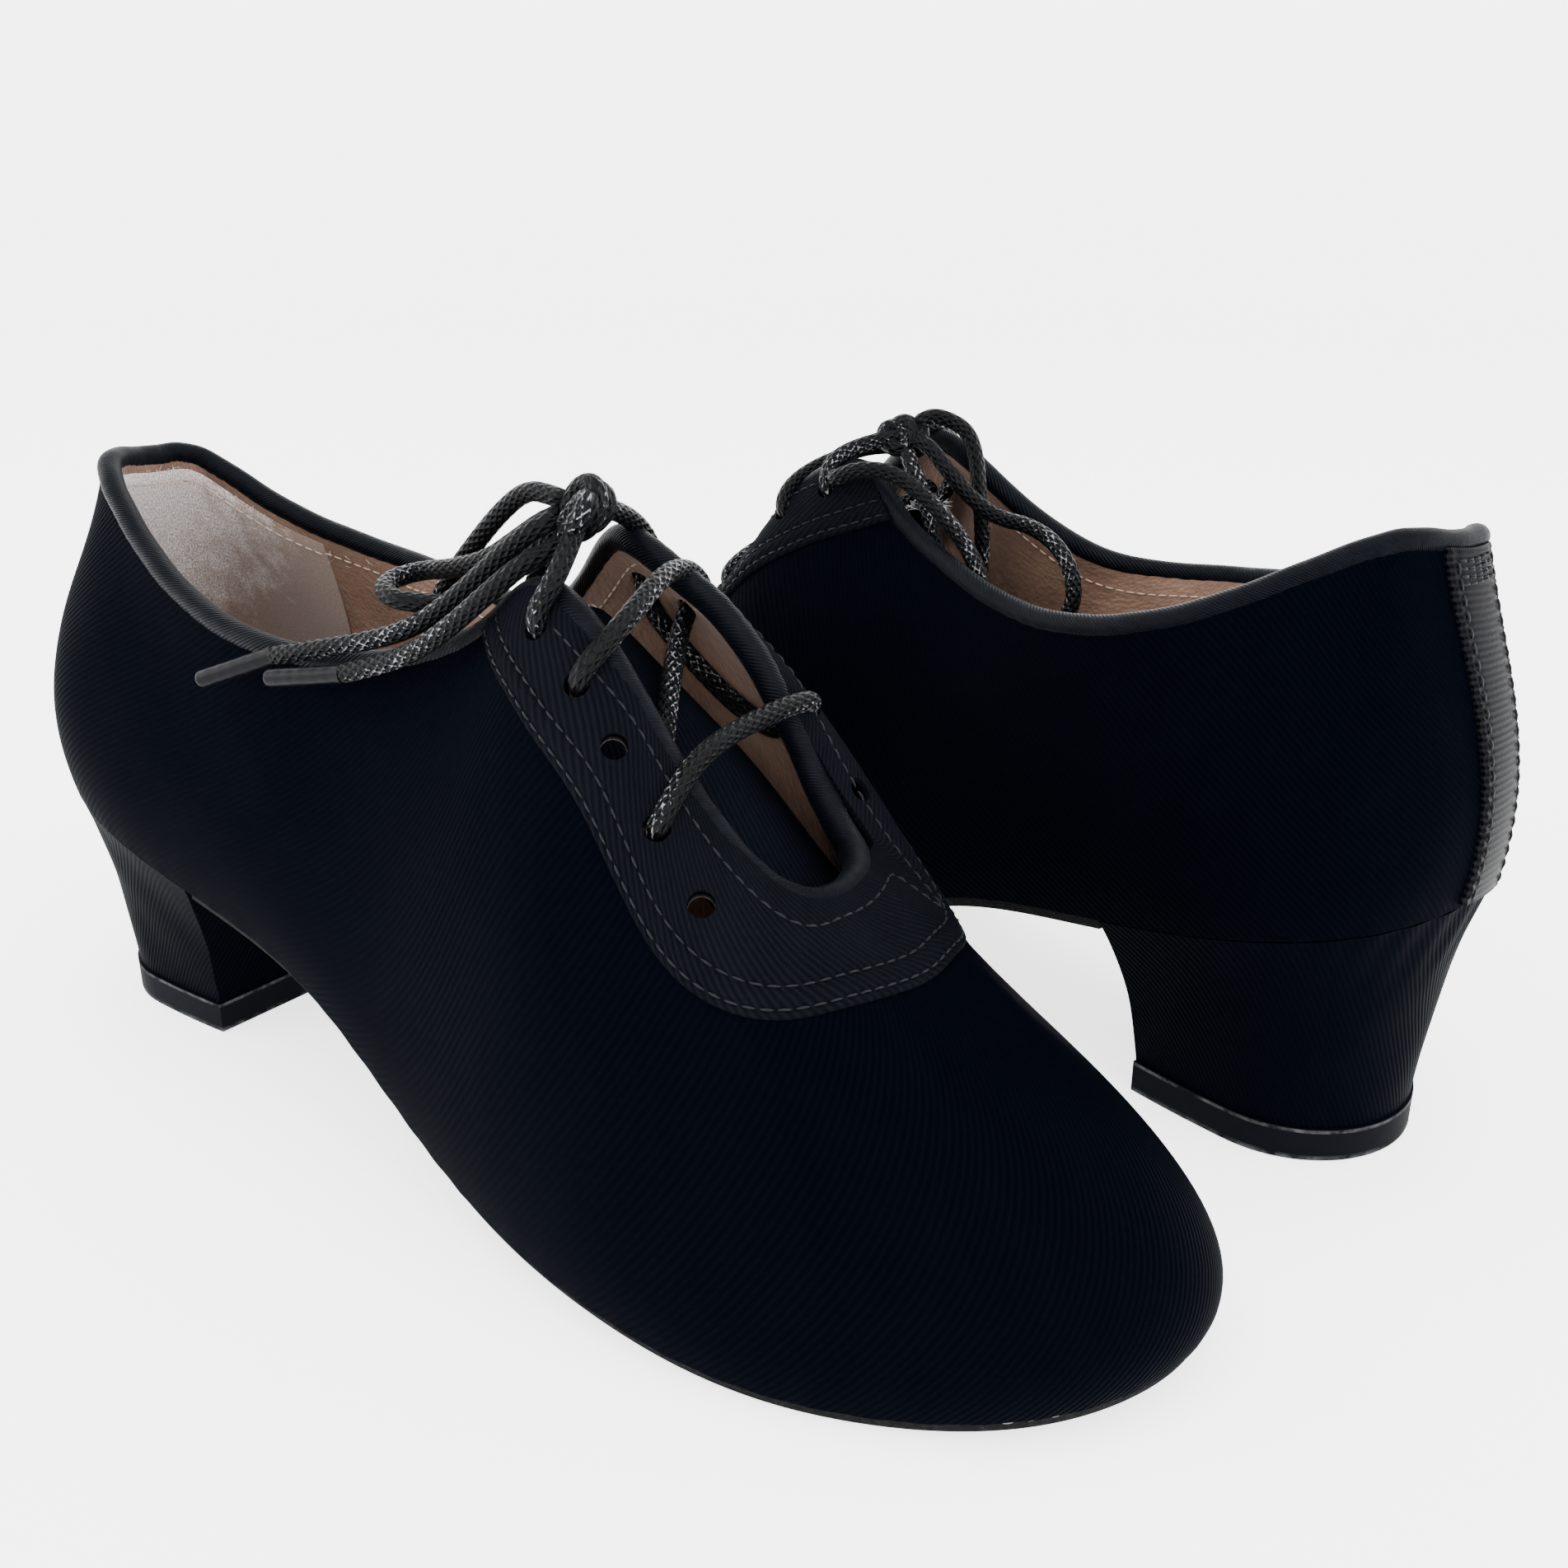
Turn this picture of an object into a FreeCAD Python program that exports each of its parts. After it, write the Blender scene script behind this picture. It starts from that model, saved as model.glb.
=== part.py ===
"""A pair of women's black lace-up practice dance shoes with a covered Cuban heel.

Units are millimetres.  One right shoe is modelled along +X (heel to toe), with +Y its inner side and
+Z up, and stands on z = 0.  The left shoe is its mirror image, turned beside it, with its own lacing.
"""

import FreeCAD
import Part
import math
import os

V = FreeCAD.Vector

# ---- How the pair stands -------------------------------------------------------------------------
PAIR_ORIGIN = V(124.37, 53.69, 0)   # the right shoe's frame origin sits this far from the pair's centre
LEFT_AT = V(248.5, 82.5, 0)          # where the left shoe's heel stands
LEFT_YAW = 171.0                     # degrees, which way the left shoe points

# ---- The last: outline, bottom line and top line -------------------------------------------------
# Stations run round the shoe from the middle of the heel back, along the outer side to the toe
# (half way round) and back along the inner side.
FEATHER_XY = [  # where the upper meets the sole, in plan, 20 even stations
    (2, 0), (8.5, -21), (29.5, -29), (58.5, -29), (89, -30), (119, -33.5), (147, -38.5),
    (176, -39.5), (203.5, -33), (227.5, -19), (238.5, 3), (231.5, 22.5), (209.5, 32), (182, 36),
    (154.5, 33.5), (125, 25.5), (95, 21), (61.5, 23.5), (30.5, 26.5), (9.5, 19.5)]
RISE_X = [0, 30, 60, 90, 120, 145, 168, 195, 220, 245]
RISE_Z = [46.5, 38, 31.5, 24.5, 10.5, 4.5, 2, 0, 1.5, 4.5]   # last bottom above its lowest point
TOP_U = [0, .05, .1, .15, .2, .235, .262, .285, .31, .35, .4, .44, .47, .5, .53, .56, .6, .65, .69,
         .715, .738, .765, .8, .85, .9, .95]
TOP_XYZ = [  # collar, facing tops (.285 and .715) and the U-shaped throat between them
    (13, .5, 106.5), (17.5, -10.5, 107.5), (30, -16.5, 101.5), (51, -20.5, 90.5), (79, -19, 84),
    (102, -12.5, 86), (120, -10, 94), (130.5, -9, 101.5), (142.5, -10, 98.5), (152.5, -9.5, 87),
    (164.5, -9.5, 73), (173, -8, 65.5), (177.5, -4.5, 62.5), (179, 1, 62), (177.5, 7, 63),
    (173, 11, 65), (163.5, 12, 74), (149.5, 11.5, 91.5), (136.5, 8.5, 102.5), (127, 10, 105),
    (116.5, 15, 97), (100, 23, 86), (78.5, 29, 84), (51.5, 27, 88), (29, 20, 95), (16, 11, 105)]
FULLNESS = [  # how the wall swells: out and up from the feather line, out and down from the top
    (4.5, 25.5, 5, 20.5), (6.5, 25.5, 4.5, 21), (6, 24.5, 4.5, 21.5), (4, 20.5, 3.5, 22),
    (3, 20, 3.5, 22), (4, 21.5, 12, 15.5), (4.5, 23.5, 17, 11.5), (4.5, 23.5, 17.5, 10),
    (5, 22.5, 19, 10.5), (6.5, 19.5, 20.5, 13.5), (8, 18.5, 20.5, 19), (6.5, 19.5, 17, 18),
    (2.5, 19.5, 16, 15.5), (2.5, 22.5, 20, 10.5), (3, 25.5, 22, 8.5), (2, 26, 17, 11.5),
    (1, 24.5, 7.5, 18.5), (2, 22.5, 6, 19.5), (3, 24.5, 5.5, 20), (4, 25.5, 5, 20.5)]

# ---- Sheet and board thicknesses, and the glue line between layers -------------------------------
GLUE = 0.2
UPPER_T = 1.1
STIFF_T = 0.7                        # heel counter and toe puff
LINING_T = 0.8
GRIP_T = 0.6                         # suede heel grip
FACING_T = 0.7
BACKSTRAP_T = 0.9
BACKSTRAP_W = 12.0
OUTSOLE_T = 2.0
OUTSOLE_INSET = 1.2                  # how far its edge lies inside the feather line
SHANK_T = 1.3
SHANK_W = 12.0
FILLER_T = 1.5
INSOLE_T = 2.0
SOCK_T = 1.2
TONGUE_T = 1.6
RIM = 1.3                            # seam room between a binding and what it finishes
BINDING_W = 4.0                      # height of the rolled binding over the cut edge
BINDING_OUT = 0.9                    # how far it stands proud of the upper

UPPER_IN = UPPER_T
STIFF_OUT = UPPER_IN + GLUE
STIFF_IN = STIFF_OUT + STIFF_T
LINING_OUT = STIFF_IN + GLUE
LINING_IN = LINING_OUT + LINING_T
GRIP_OUT = LINING_IN + GLUE
GRIP_IN = GRIP_OUT + GRIP_T
FOOTBED_INSET = LINING_IN + 0.5      # how far inside the feather line the boards stop

# ---- Eyelets and lace -----------------------------------------------------------------------------
EYELET_D = 4.4                       # plain punched holes
LACE_D = 3.4
EYELETS_OUTER = [(136.5, -15), (146.5, -17.5), (154, -18.5), (162.5, -19.5), (171.5, -20.5)]
EYELETS_INNER = [(129, 17), (138, 18.5), (148, 18.5), (160, 18.5), (169.5, 18.5)]
LACE_OVER = 1.5                      # the extra height of a lace over the rolled edge
LACE_CLEAR = 0.45                    # between the lace and the leather it lies on
HOLE_BEND = 2.0                      # radius of the lace where it turns into a hole
INNER_RUN_ASIDE = 0.14               # share of the section by which the inner run misses the holes
AGLET_D = 3.0
AGLET_L = 16.0
AGLET_GAP = 0.4
KNOT_GAP = 0.3

# ---- Facing seam, in plan, from the outer collar round the throat to the inner collar ------------
SEAM_XY = [
    (121.5, -12.5), (129, -17.5), (140, -22), (152, -24.5), (163, -26.5), (172, -27), (180.5, -25),
    (187.5, -20.5), (192, -13), (194, -4.5), (194.5, 4.5), (192.5, 13.5), (188.5, 20.5),
    (182, 25.5), (173, 28), (163, 28.5), (152, 27), (140, 24), (129, 20.5), (119, 17)]

# ---- Tongue, front to back: x, height of its crown, half width, drop at its edges, middle y ------
TONGUE = [(192, 47.8, 9, 1.5, 1.5), (184, 50.5, 10.5, 2.5, 1.5), (175, 55.5, 12, 3, 1.5),
          (165, 62.5, 13, 3.5, 1.5), (155, 71, 13.5, 4, 1.5), (146, 79, 12.5, 4, 1),
          (137, 86, 10.5, 3.5, 1), (131, 90.2, 9.5, 3, 1), (126, 93.5, 8, 2.5, 1)]

# ---- Heel -----------------------------------------------------------------------------------------
HEEL_SEAT_X = 54.0                   # how far forward the heel reaches under the seat
HEEL_BACK_X = 8.0                    # outline of the heel where it meets its tip
HEEL_BREAST_X = 48.5
HEEL_HALF_W = 20.5
HEEL_MID_Y = -2.5
HEEL_RUN = 62.0                      # length of one side, back to breast
HEEL_ROUND = 0.62                    # share of the side that is the rounded back
COVER_T = 0.9
TIP_T = 6.0
TIP_PROUD = 0.3
SCREW_D = 4.0
SCREW_L = 30.0
SCREW_HEAD_D = 8.0
SCREW_HEAD_T = 2.2
SCREW_X = 27.0
NAIL_D = 1.6
NAIL_L = 17.0
NAIL_XY = [(16, -12), (16, 9), (42, -15), (42, 12)]
DOWEL_D = 3.0
DOWEL_L = 9.0
DOWEL_X = [18.0, 36.0]
HOLE_CLEAR = 0.15

SAMPLE = 1e-3                        # step for slopes, as a share of the way round


# ---- Curves ---------------------------------------------------------------------------------------
def solve(rows, rights):
    """Solution of a small square set of linear equations, by elimination with pivoting."""
    n = len(rows)
    a = [list(rows[i]) + list(rights[i]) for i in range(n)]
    for i in range(n):
        best = max(range(i, n), key=lambda k: abs(a[k][i]))
        a[i], a[best] = a[best], a[i]
        for k in range(i + 1, n):
            share = a[k][i] / a[i][i]
            if share:
                a[k] = [p - share * q for p, q in zip(a[k], a[i])]
    out = [None] * n
    for i in reversed(range(n)):
        total = list(a[i][n:])
        for k in range(i + 1, n):
            total = [t - a[i][k] * s for t, s in zip(total, out[k])]
        out[i] = [t / a[i][i] for t in total]
    return out


def spline(stations, values, closed):
    """Smooth curve through values at the stations, with matched slope and curvature.

    closed joins the last station to the first, one whole turn later; otherwise the ends are free.
    """
    count = len(stations)
    steps = [stations[i + 1] - stations[i] for i in range(count - 1)]
    steps.append(stations[0] + 1.0 - stations[-1])
    width = len(values[0])
    rows = [[0.0] * count for _ in range(count)]
    rights = [[0.0] * width for _ in range(count)]
    for i in range(count):
        if not closed and i in (0, count - 1):
            rows[i][i] = 1.0
            continue
        before, after = i - 1, (i + 1) % count
        h, k = steps[before], steps[i]
        rows[i][before] += h
        rows[i][i] += 2 * (h + k)
        rows[i][after] += k
        for c in range(width):
            rights[i][c] = 6 * ((values[after][c] - values[i][c]) / k
                                - (values[i][c] - values[before][c]) / h)
    bend = solve(rows, rights)

    def at(s):
        if closed:
            s = (s - stations[0]) % 1.0 + stations[0]
        i = 0
        last = count - 1 if closed else count - 2
        while i < last and s >= stations[i + 1]:
            i += 1
        j = (i + 1) % count
        h = steps[i]
        q = s - stations[i]
        r = h - q
        return [(bend[i][c] * r ** 3 + bend[j][c] * q ** 3) / (6 * h)
                + (values[i][c] / h - bend[i][c] * h / 6) * r
                + (values[j][c] / h - bend[j][c] * h / 6) * q for c in range(width)]
    return at


EVEN = [i / 20 for i in range(20)]
feather_xy = spline(EVEN, FEATHER_XY, True)
rise = spline(RISE_X, [(z,) for z in RISE_Z], False)
top_xyz = spline(TOP_U, TOP_XYZ, True)
fullness = spline(EVEN, FULLNESS, True)
LOWEST = min(rise(x)[0] for x in range(150, 240))
SEAT_LIFT = OUTSOLE_T + GLUE - LOWEST
TOP_LIFT = SEAT_LIFT - OUTSOLE_T - GLUE      # the top line stands on the same last


def seat_z(x):
    """Height of the last's bottom at x, which the outsole's thickness lifts off the ground."""
    return rise(x)[0] + SEAT_LIFT


def feather(u):
    """Point of the feather line, where the upper meets the sole."""
    x, y = feather_xy(u)
    return V(x, y, seat_z(x))


def feather_out(u):
    """Level direction square to the feather line, away from the foot."""
    a, b = feather_xy(u - SAMPLE), feather_xy(u + SAMPLE)
    out = V(b[1] - a[1], a[0] - b[0], 0)
    return out.normalize()


def top_line(u):
    """Point of the collar or throat edge."""
    x, y, z = top_xyz(u)
    return V(x, y, z + TOP_LIFT)


def ease(s):
    """Smooth step from 0 to 1."""
    s = min(1.0, max(0.0, s))
    return s * s * (3 - 2 * s)


def wall(u):
    """The four control points of the upper's section at u, from the feather line to the top line."""
    foot, top = feather(u), top_line(u)
    out_low, up_low, out_high, down_high = fullness(u)
    square = feather_out(u)
    lean = V(foot.x - top.x, foot.y - top.y, 0)
    reach = lean.Length
    share = ease((reach - 6) / 12)
    over = square * (1 - share) + lean * (share / max(reach, 1e-6))
    over.normalize()
    return (foot, foot + square * out_low + V(0, 0, up_low),
            top + over * out_high - V(0, 0, down_high), top)


def skin(u, v):
    """Outside of the upper: u round the shoe, v from the feather line (0) to the top line (1)."""
    a, b, c, d = wall(u)
    w = 1 - v
    return a * w ** 3 + b * (3 * w * w * v) + c * (3 * w * v * v) + d * v ** 3


def skin_normal(u, v):
    """Outward direction of the upper's outside."""
    along = skin(u + SAMPLE, v) - skin(u - SAMPLE, v)
    up = skin(u, v + SAMPLE) - skin(u, v - SAMPLE)
    return along.cross(up).normalize()


def layer(u, v, depth):
    """Point that lies depth inside the upper's outside."""
    return skin(u, v) - skin_normal(u, v) * depth


def edge_v(u, width):
    """The v that lies width below the top line, measured square to it."""
    _, _, near, top = wall(u)
    along = (top_line(u + SAMPLE) - top_line(u - SAMPLE)).normalize()
    reach = top - near
    square = reach - along * reach.dot(along)
    return 1 - width / (3 * square.Length)


def locate(x, y, u, v):
    """The (u, v) of the point of the upper's outside above (x, y), searched from a first guess."""
    for _ in range(12):
        p = skin(u, v)
        a = (skin(u + SAMPLE, v) - p) * (1 / SAMPLE)
        b = (skin(u, v + SAMPLE) - p) * (1 / SAMPLE)
        dx, dy = x - p.x, y - p.y
        det = a.x * b.y - a.y * b.x
        u += max(-.02, min(.02, (dx * b.y - dy * b.x) / det))
        v += max(-.1, min(.1, (a.x * dy - a.y * dx) / det))
    return u, v


# ---- Solids ---------------------------------------------------------------------------------------
def grid_face(rows):
    """Smooth face through a grid of points."""
    surface = Part.BSplineSurface()
    surface.interpolate(rows)
    return surface.toShape()


def sheet(outer, inner, across, along):
    """Closed solid between two smooth faces, each a function of (s, t) from 0 to 1."""
    s_values = [i / across for i in range(across + 1)]
    t_values = [i / along for i in range(along + 1)]
    faces = []
    for side in (outer, inner):
        faces.append(grid_face([[side(s, t) for t in t_values] for s in s_values]))
    rims = []
    for face in faces:
        surface = face.Surface
        u0, u1, v0, v1 = surface.bounds()
        rims.append([surface.uIso(u0), surface.uIso(u1), surface.vIso(v0), surface.vIso(v1)])
    for one, two in zip(*rims):
        faces.append(Part.makeRuledSurface(one.toShape(), two.toShape()))
    shell = Part.makeShell(faces)
    shell.sewShape()
    solid = Part.Solid(shell)
    if solid.Volume < 0:
        solid.reverse()
    return solid


def skin_sheet(place, outside, inside, across, along):
    """Sheet that follows the upper: place(s, t) gives (u, v), and the depths give its two faces."""
    return sheet(lambda s, t: layer(*place(s, t), outside),
                 lambda s, t: layer(*place(s, t), inside), across, along)


def between(a, b, s):
    return a + (b - a) * s


def smooth_wire(points, closed):
    """Edge of one smooth curve through the points."""
    curve = Part.BSplineCurve()
    curve.interpolate(points, PeriodicFlag=closed)
    return curve.toShape()


def plan_prism(inset, steps=64):
    """Upright solid inside the feather line, inset by a margin."""
    points = []
    for i in range(steps):
        u = i / steps
        p = feather(u) - feather_out(u) * inset
        points.append(V(p.x, p.y, -20))
    face = Part.Face(Part.Wire(smooth_wire(points, True)))
    return face.extrude(V(0, 0, 140))


def board(bottom, top, x0, x1, inset, half_width=None, mid_y=0.0):
    """Board that follows the last's bottom, from bottom to top above it and from x0 to x1."""
    xs = [x0 + (x1 - x0) * i / 24 for i in range(25)]
    low = smooth_wire([V(x, -70, seat_z(x) + bottom) for x in xs], False)
    high = smooth_wire([V(x, -70, seat_z(x) + top) for x in xs], False)
    start = Part.LineSegment(low.firstVertex().Point, high.firstVertex().Point).toShape()
    end = Part.LineSegment(low.lastVertex().Point, high.lastVertex().Point).toShape()
    slab = Part.Face(Part.Wire([low, end, high, start])).extrude(V(0, 140, 0))
    if half_width:
        strip = Part.makeBox(x1 - x0 + 20, 2 * half_width, 160, V(x0 - 10, mid_y - half_width, -20))
        return slab.common(strip)
    return slab.common(plan_prism(inset))


def rod(diameter, start, end):
    return Part.makeCylinder(diameter / 2, (end - start).Length, start, end - start)


# ---- Upper, linings and stiffeners ----------------------------------------------------------------
FACING_TOP_OUT = .285                # the facing tops, where collar and throat meet
FACING_TOP_IN = .715
BACK_SEAM = .0008                    # half of the butted seam up the heel back


def to_edge(u0, u1, v0, margin):
    """Place function: u0 to u1 round the shoe, v0 up to a margin below the top line."""
    def place(s, t):
        u = between(u0, u1, s)
        return u, between(v0, edge_v(u, margin), t)
    return place


def patch(u0, u1, v0, v1):
    """Place function for a patch with rounded ends, such as a stiffener."""
    def place(s, t):
        fade = math.sin(math.pi * min(max(s, .02), .98)) ** 0.5
        return between(u0, u1, s), between(v0, v0 + (v1 - v0) * fade, t)
    return place


SEAM_FIRST = (.262, .93)


def seam_line():
    """The facing seam as (u, v) stations."""
    u, v = SEAM_FIRST
    out = []
    for x, y in SEAM_XY:
        u, v = locate(x, y, u, v)
        out.append((u, v))
    return spline([i / (len(out) - 1) for i in range(len(out))], out, False)


seam_uv = seam_line()


def facing_place(s, t):
    """From the seam (t = 0) to the throat binding (t = 1), round the throat with s."""
    u, v = seam_uv(s)
    limit = edge_v(u, BINDING_W + RIM)
    u_edge = between(FACING_TOP_OUT + .001, FACING_TOP_IN - .001, s)
    return between(u, u_edge, t), between(min(v, limit), edge_v(u_edge, BINDING_W + RIM), t)


def binding(u0, u1, steps):
    """Rolled binding over the cut edge of upper and lining, as one rounded bead."""
    half_thick = (BINDING_OUT + LINING_IN + 0.4) / 2
    middle = half_thick - BINDING_OUT
    open_angle = math.radians(80)

    def ring(u, angle, side):
        normal = skin_normal(u, 1)
        top = top_line(u)
        along = top_line(u + SAMPLE) - top_line(u - SAMPLE)
        up = normal.cross(along).normalize()
        if up.dot(top - wall(u)[2]) < 0:
            up = up * -1
        across = normal * (side * half_thick * math.cos(angle) - middle)
        return top + across + up * (BINDING_W / 2 * (math.sin(angle) - 1))

    def face(side):
        return lambda s, t: ring(between(u0, u1, s), between(-open_angle, open_angle, t), side)
    return sheet(face(1), face(-1), steps, 8)


def eyelets():
    """The (u, v) of each hole, outer side then inner side, from the top row down."""
    rows = []
    for stations, guess in ((EYELETS_OUTER, (.29, .88)), (EYELETS_INNER, (.71, .88))):
        side = []
        for x, y in stations:
            guess = locate(x, y, *guess)
            side.append(guess)
        rows.append(side)
    return rows


def punch(solid, holes):
    """Solid with the eyelets cut through it."""
    for u, v in [uv for side in holes for uv in side]:
        p, n = skin(u, v), skin_normal(u, v)
        solid = solid.cut(rod(EYELET_D, p + n * 4, p - n * 8))
    return solid


def backstrap_place(s, t):
    """Ribbed strap up the heel back, even in width, from the heel seat to the collar."""
    v = between(0.012, edge_v(0, BINDING_W + 2 * GLUE), t)
    slope = (skin(SAMPLE, v) - skin(-SAMPLE, v)).Length / (2 * SAMPLE)
    half = BACKSTRAP_W / 2 / slope
    return between(-half, half, s), v


def tongue_solid():
    """Arched tongue under the throat, thin, with its front edge sewn under the vamp."""
    line = spline([i / (len(TONGUE) - 1) for i in range(len(TONGUE))], TONGUE, False)

    def top(s, t):
        x, crown, half, drop, mid = line(s)
        w = 2 * t - 1
        return V(x, mid + half * w, crown - drop * w * w + TOP_LIFT)

    def under(s, t):
        d = 1e-3
        along = top(s + d, t) - top(s - d, t)
        over = top(s, t + d) - top(s, t - d)
        down = over.cross(along).normalize()
        if down.z > 0:
            down = down * -1
        return top(s, t) + down * TONGUE_T
    return sheet(top, under, 20, 8)


# ---- Heel -----------------------------------------------------------------------------------------
def heel_bottom(t):
    """Outline of the heel at its tip: t from -1 (inner breast corner) to 1 (outer breast corner)."""
    a = min(1.0, abs(t) / HEEL_ROUND)
    rest = max(0.0, abs(t) - HEEL_ROUND) / (1 - HEEL_ROUND)
    depth = HEEL_BREAST_X - HEEL_BACK_X
    x = HEEL_BACK_X + depth * (0.5 * (1 - math.cos(math.pi / 2 * a)) + 0.5 * rest)
    y = HEEL_HALF_W * (math.sin(math.pi / 2 * a) - 0.05 * rest * rest)
    return x, HEEL_MID_Y - math.copysign(y, t)


def seat_u(sign):
    """How far round the feather line the heel's breast lies, on the outer (1) or inner (-1) side."""
    low, high = 0.05, 0.25
    for _ in range(40):
        middle = (low + high) / 2
        if feather(sign * middle).x < HEEL_SEAT_X:
            low = middle
        else:
            high = middle
    return low


SEAT_U = {1: seat_u(1), -1: seat_u(-1)}


def heel_outline(t, z):
    """Outline at height z: the tip's outline below, the seat's above, with waisted sides."""
    u = t * SEAT_U[1 if t > 0 else -1]
    seat = feather(u)
    share = min(1.0, max(0.0, (z - TIP_T) / (seat.z - TIP_T)))
    flare = 0.45 * share + 0.55 * share ** 2.6
    x, y = heel_bottom(t)
    return x + (seat.x - x) * flare, y + (seat.y - y) * flare


def heel_level(z, inset, steps=26):
    """Closed wire of the heel's section at height z, inset all round."""
    points = []
    shrink = 1 - inset / HEEL_RUN
    for i in range(steps + 1):
        t = (2 * i / steps - 1) * shrink
        x, y = heel_outline(t, z)
        x1, y1 = heel_outline(t + .01, z)
        x0, y0 = heel_outline(t - .01, z)
        square = V(y1 - y0, x0 - x1, 0).normalize()
        points.append(V(x, y, z) - square * inset)
    side = smooth_wire(points, False)
    breast = Part.LineSegment(points[-1], points[0]).toShape()
    return Part.Wire([side, breast])


def heel_body(inset, bottom):
    """Heel-shaped solid from bottom up to the underside of the seat."""
    top = seat_z(0) + 6
    count = 8
    levels = [bottom + (top - bottom) * i / count for i in range(count + 1)]
    body = Part.makeLoft([heel_level(z, inset) for z in levels], True)
    cutter_xs = [-30 + 130 * i / 26 for i in range(27)]
    line = smooth_wire([V(x, -60, seat_z(max(x, -2)) - 1.5 * GLUE) for x in cutter_xs], False)
    first, last = line.firstVertex().Point, line.lastVertex().Point
    over_last = Part.LineSegment(last, V(last.x, last.y, 200)).toShape()
    over = Part.LineSegment(V(last.x, last.y, 200), V(first.x, first.y, 200)).toShape()
    over_first = Part.LineSegment(V(first.x, first.y, 200), first).toShape()
    cutter = Part.Face(Part.Wire([line, over_last, over, over_first])).extrude(V(0, 120, 0))
    return body.cut(cutter)


def heel_parts():
    """Block, cloth cover, tip, and the screw, nails and dowels that hold them."""
    mid = HEEL_MID_Y / 2
    board_low, board_high = SHANK_T + 2 * GLUE + GLUE, SHANK_T + 3 * GLUE + INSOLE_T
    head_top = seat_z(SCREW_X + SCREW_HEAD_D / 2) + board_high - GLUE
    head_low = head_top - SCREW_HEAD_T
    shaft_end = V(SCREW_X, mid, head_top - SCREW_L)
    screw = rod(SCREW_D, shaft_end, V(SCREW_X, mid, head_low)).fuse(
        rod(SCREW_HEAD_D, V(SCREW_X, mid, head_low), V(SCREW_X, mid, head_top)))
    nails = []
    for x, y in NAIL_XY:
        top = seat_z(x) + board_high - 0.4
        nails.append(rod(NAIL_D, V(x, y, top - NAIL_L), V(x, y, top)))
    dowels = [rod(DOWEL_D, V(x, HEEL_MID_Y, TIP_T / 2), V(x, HEEL_MID_Y, TIP_T / 2 + DOWEL_L))
              for x in DOWEL_X]

    def bore(solid):
        wide = rod(SCREW_D + 2 * HOLE_CLEAR, shaft_end - V(0, 0, 1), V(SCREW_X, mid, head_top + 2))
        sunk = rod(SCREW_HEAD_D + 2 * HOLE_CLEAR, V(SCREW_X, mid, head_low - HOLE_CLEAR),
                   V(SCREW_X, mid, head_top + 4))
        solid = solid.cut(wide).cut(sunk)
        for x, y in NAIL_XY:
            top = seat_z(x) + board_high - 0.4
            solid = solid.cut(rod(NAIL_D + 2 * HOLE_CLEAR, V(x, y, top - NAIL_L - 1), V(x, y, top + 4)))
        for x in DOWEL_X:
            low = V(x, HEEL_MID_Y, TIP_T / 2 - HOLE_CLEAR)
            high = V(x, HEEL_MID_Y, TIP_T / 2 + DOWEL_L + HOLE_CLEAR)
            solid = solid.cut(rod(DOWEL_D + 2 * HOLE_CLEAR, low, high))
        return solid

    base = TIP_T + GLUE
    block = bore(heel_body(COVER_T + 2 * GLUE, base))
    cover = heel_body(0, base).cut(heel_body(COVER_T, base - 5))
    tip_wire = heel_level(TIP_T, -TIP_PROUD)
    tip_wire.translate(V(0, 0, -TIP_T))
    tip = bore(Part.Face(tip_wire).extrude(V(0, 0, TIP_T)))
    insole = bore(board(board_low, board_high, -5, 250, FOOTBED_INSET))
    return {
        "heel_block": block, "heel_cover": cover, "heel_tip": tip, "heel_screw": screw,
        "heel_nails": Part.makeCompound(nails), "tip_dowels": Part.makeCompound(dowels),
        "insole_board": insole,
        "sock_liner": board(board_high + GLUE, board_high + GLUE + SOCK_T, -5, 250,
                            FOOTBED_INSET + 0.4),
        "outsole": board(-GLUE - OUTSOLE_T, -GLUE, HEEL_SEAT_X + 2 * GLUE, 250, OUTSOLE_INSET),
        "shank": bore(board(GLUE, GLUE + SHANK_T, 34, 126, 0, SHANK_W / 2, HEEL_MID_Y / 2)),
        "bottom_filler": board(GLUE, GLUE + FILLER_T, 132, 228, 8.0),
    }


# ---- Laces ----------------------------------------------------------------------------------------
def tube(points, diameter, biggest=None, report=None):
    """Round cord along straight runs joined by tangent arcs, each as large as its runs allow."""
    edges = []
    start = points[0]
    radii = []
    for i in range(1, len(points) - 1):
        a, b, c = points[i - 1], points[i], points[i + 1]
        back, ahead = (a - b), (c - b)
        shorter = min(back.Length, ahead.Length)
        back.normalize()
        ahead.normalize()
        turn = math.pi - back.getAngle(ahead)
        cut = 0.45 * shorter
        radius = cut / math.tan(turn / 2)
        if biggest and radius > biggest:
            radius = biggest
            cut = radius * math.tan(turn / 2)
        radii.append(radius)
        p, q = b + back * cut, b + ahead * cut
        toward = (back + ahead).normalize()
        centre = b + toward * (radius / math.cos(turn / 2))
        middle = centre - toward * radius
        edges.append(Part.LineSegment(start, p).toShape())
        edges.append(Part.Arc(p, middle, q).toShape())
        start = q
    edges.append(Part.LineSegment(start, points[-1]).toShape())
    path = Part.Wire(edges)
    first = (points[1] - points[0]).normalize()
    ring = Part.Wire(Part.Circle(points[0], first, diameter / 2).toShape())
    solid = path.makePipeShell([ring], True, False)
    if solid.Volume < 0:
        solid.reverse()
    if report:
        length = path.Length
        fill = solid.Volume / (math.pi / 4 * diameter ** 2 * length)
        print(f"{report}: length {length:.1f}, least radius {min(radii):.1f} "
              f"({min(radii) / diameter:.1f} diameters), volume share {fill:.3f}")
    return solid


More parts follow.
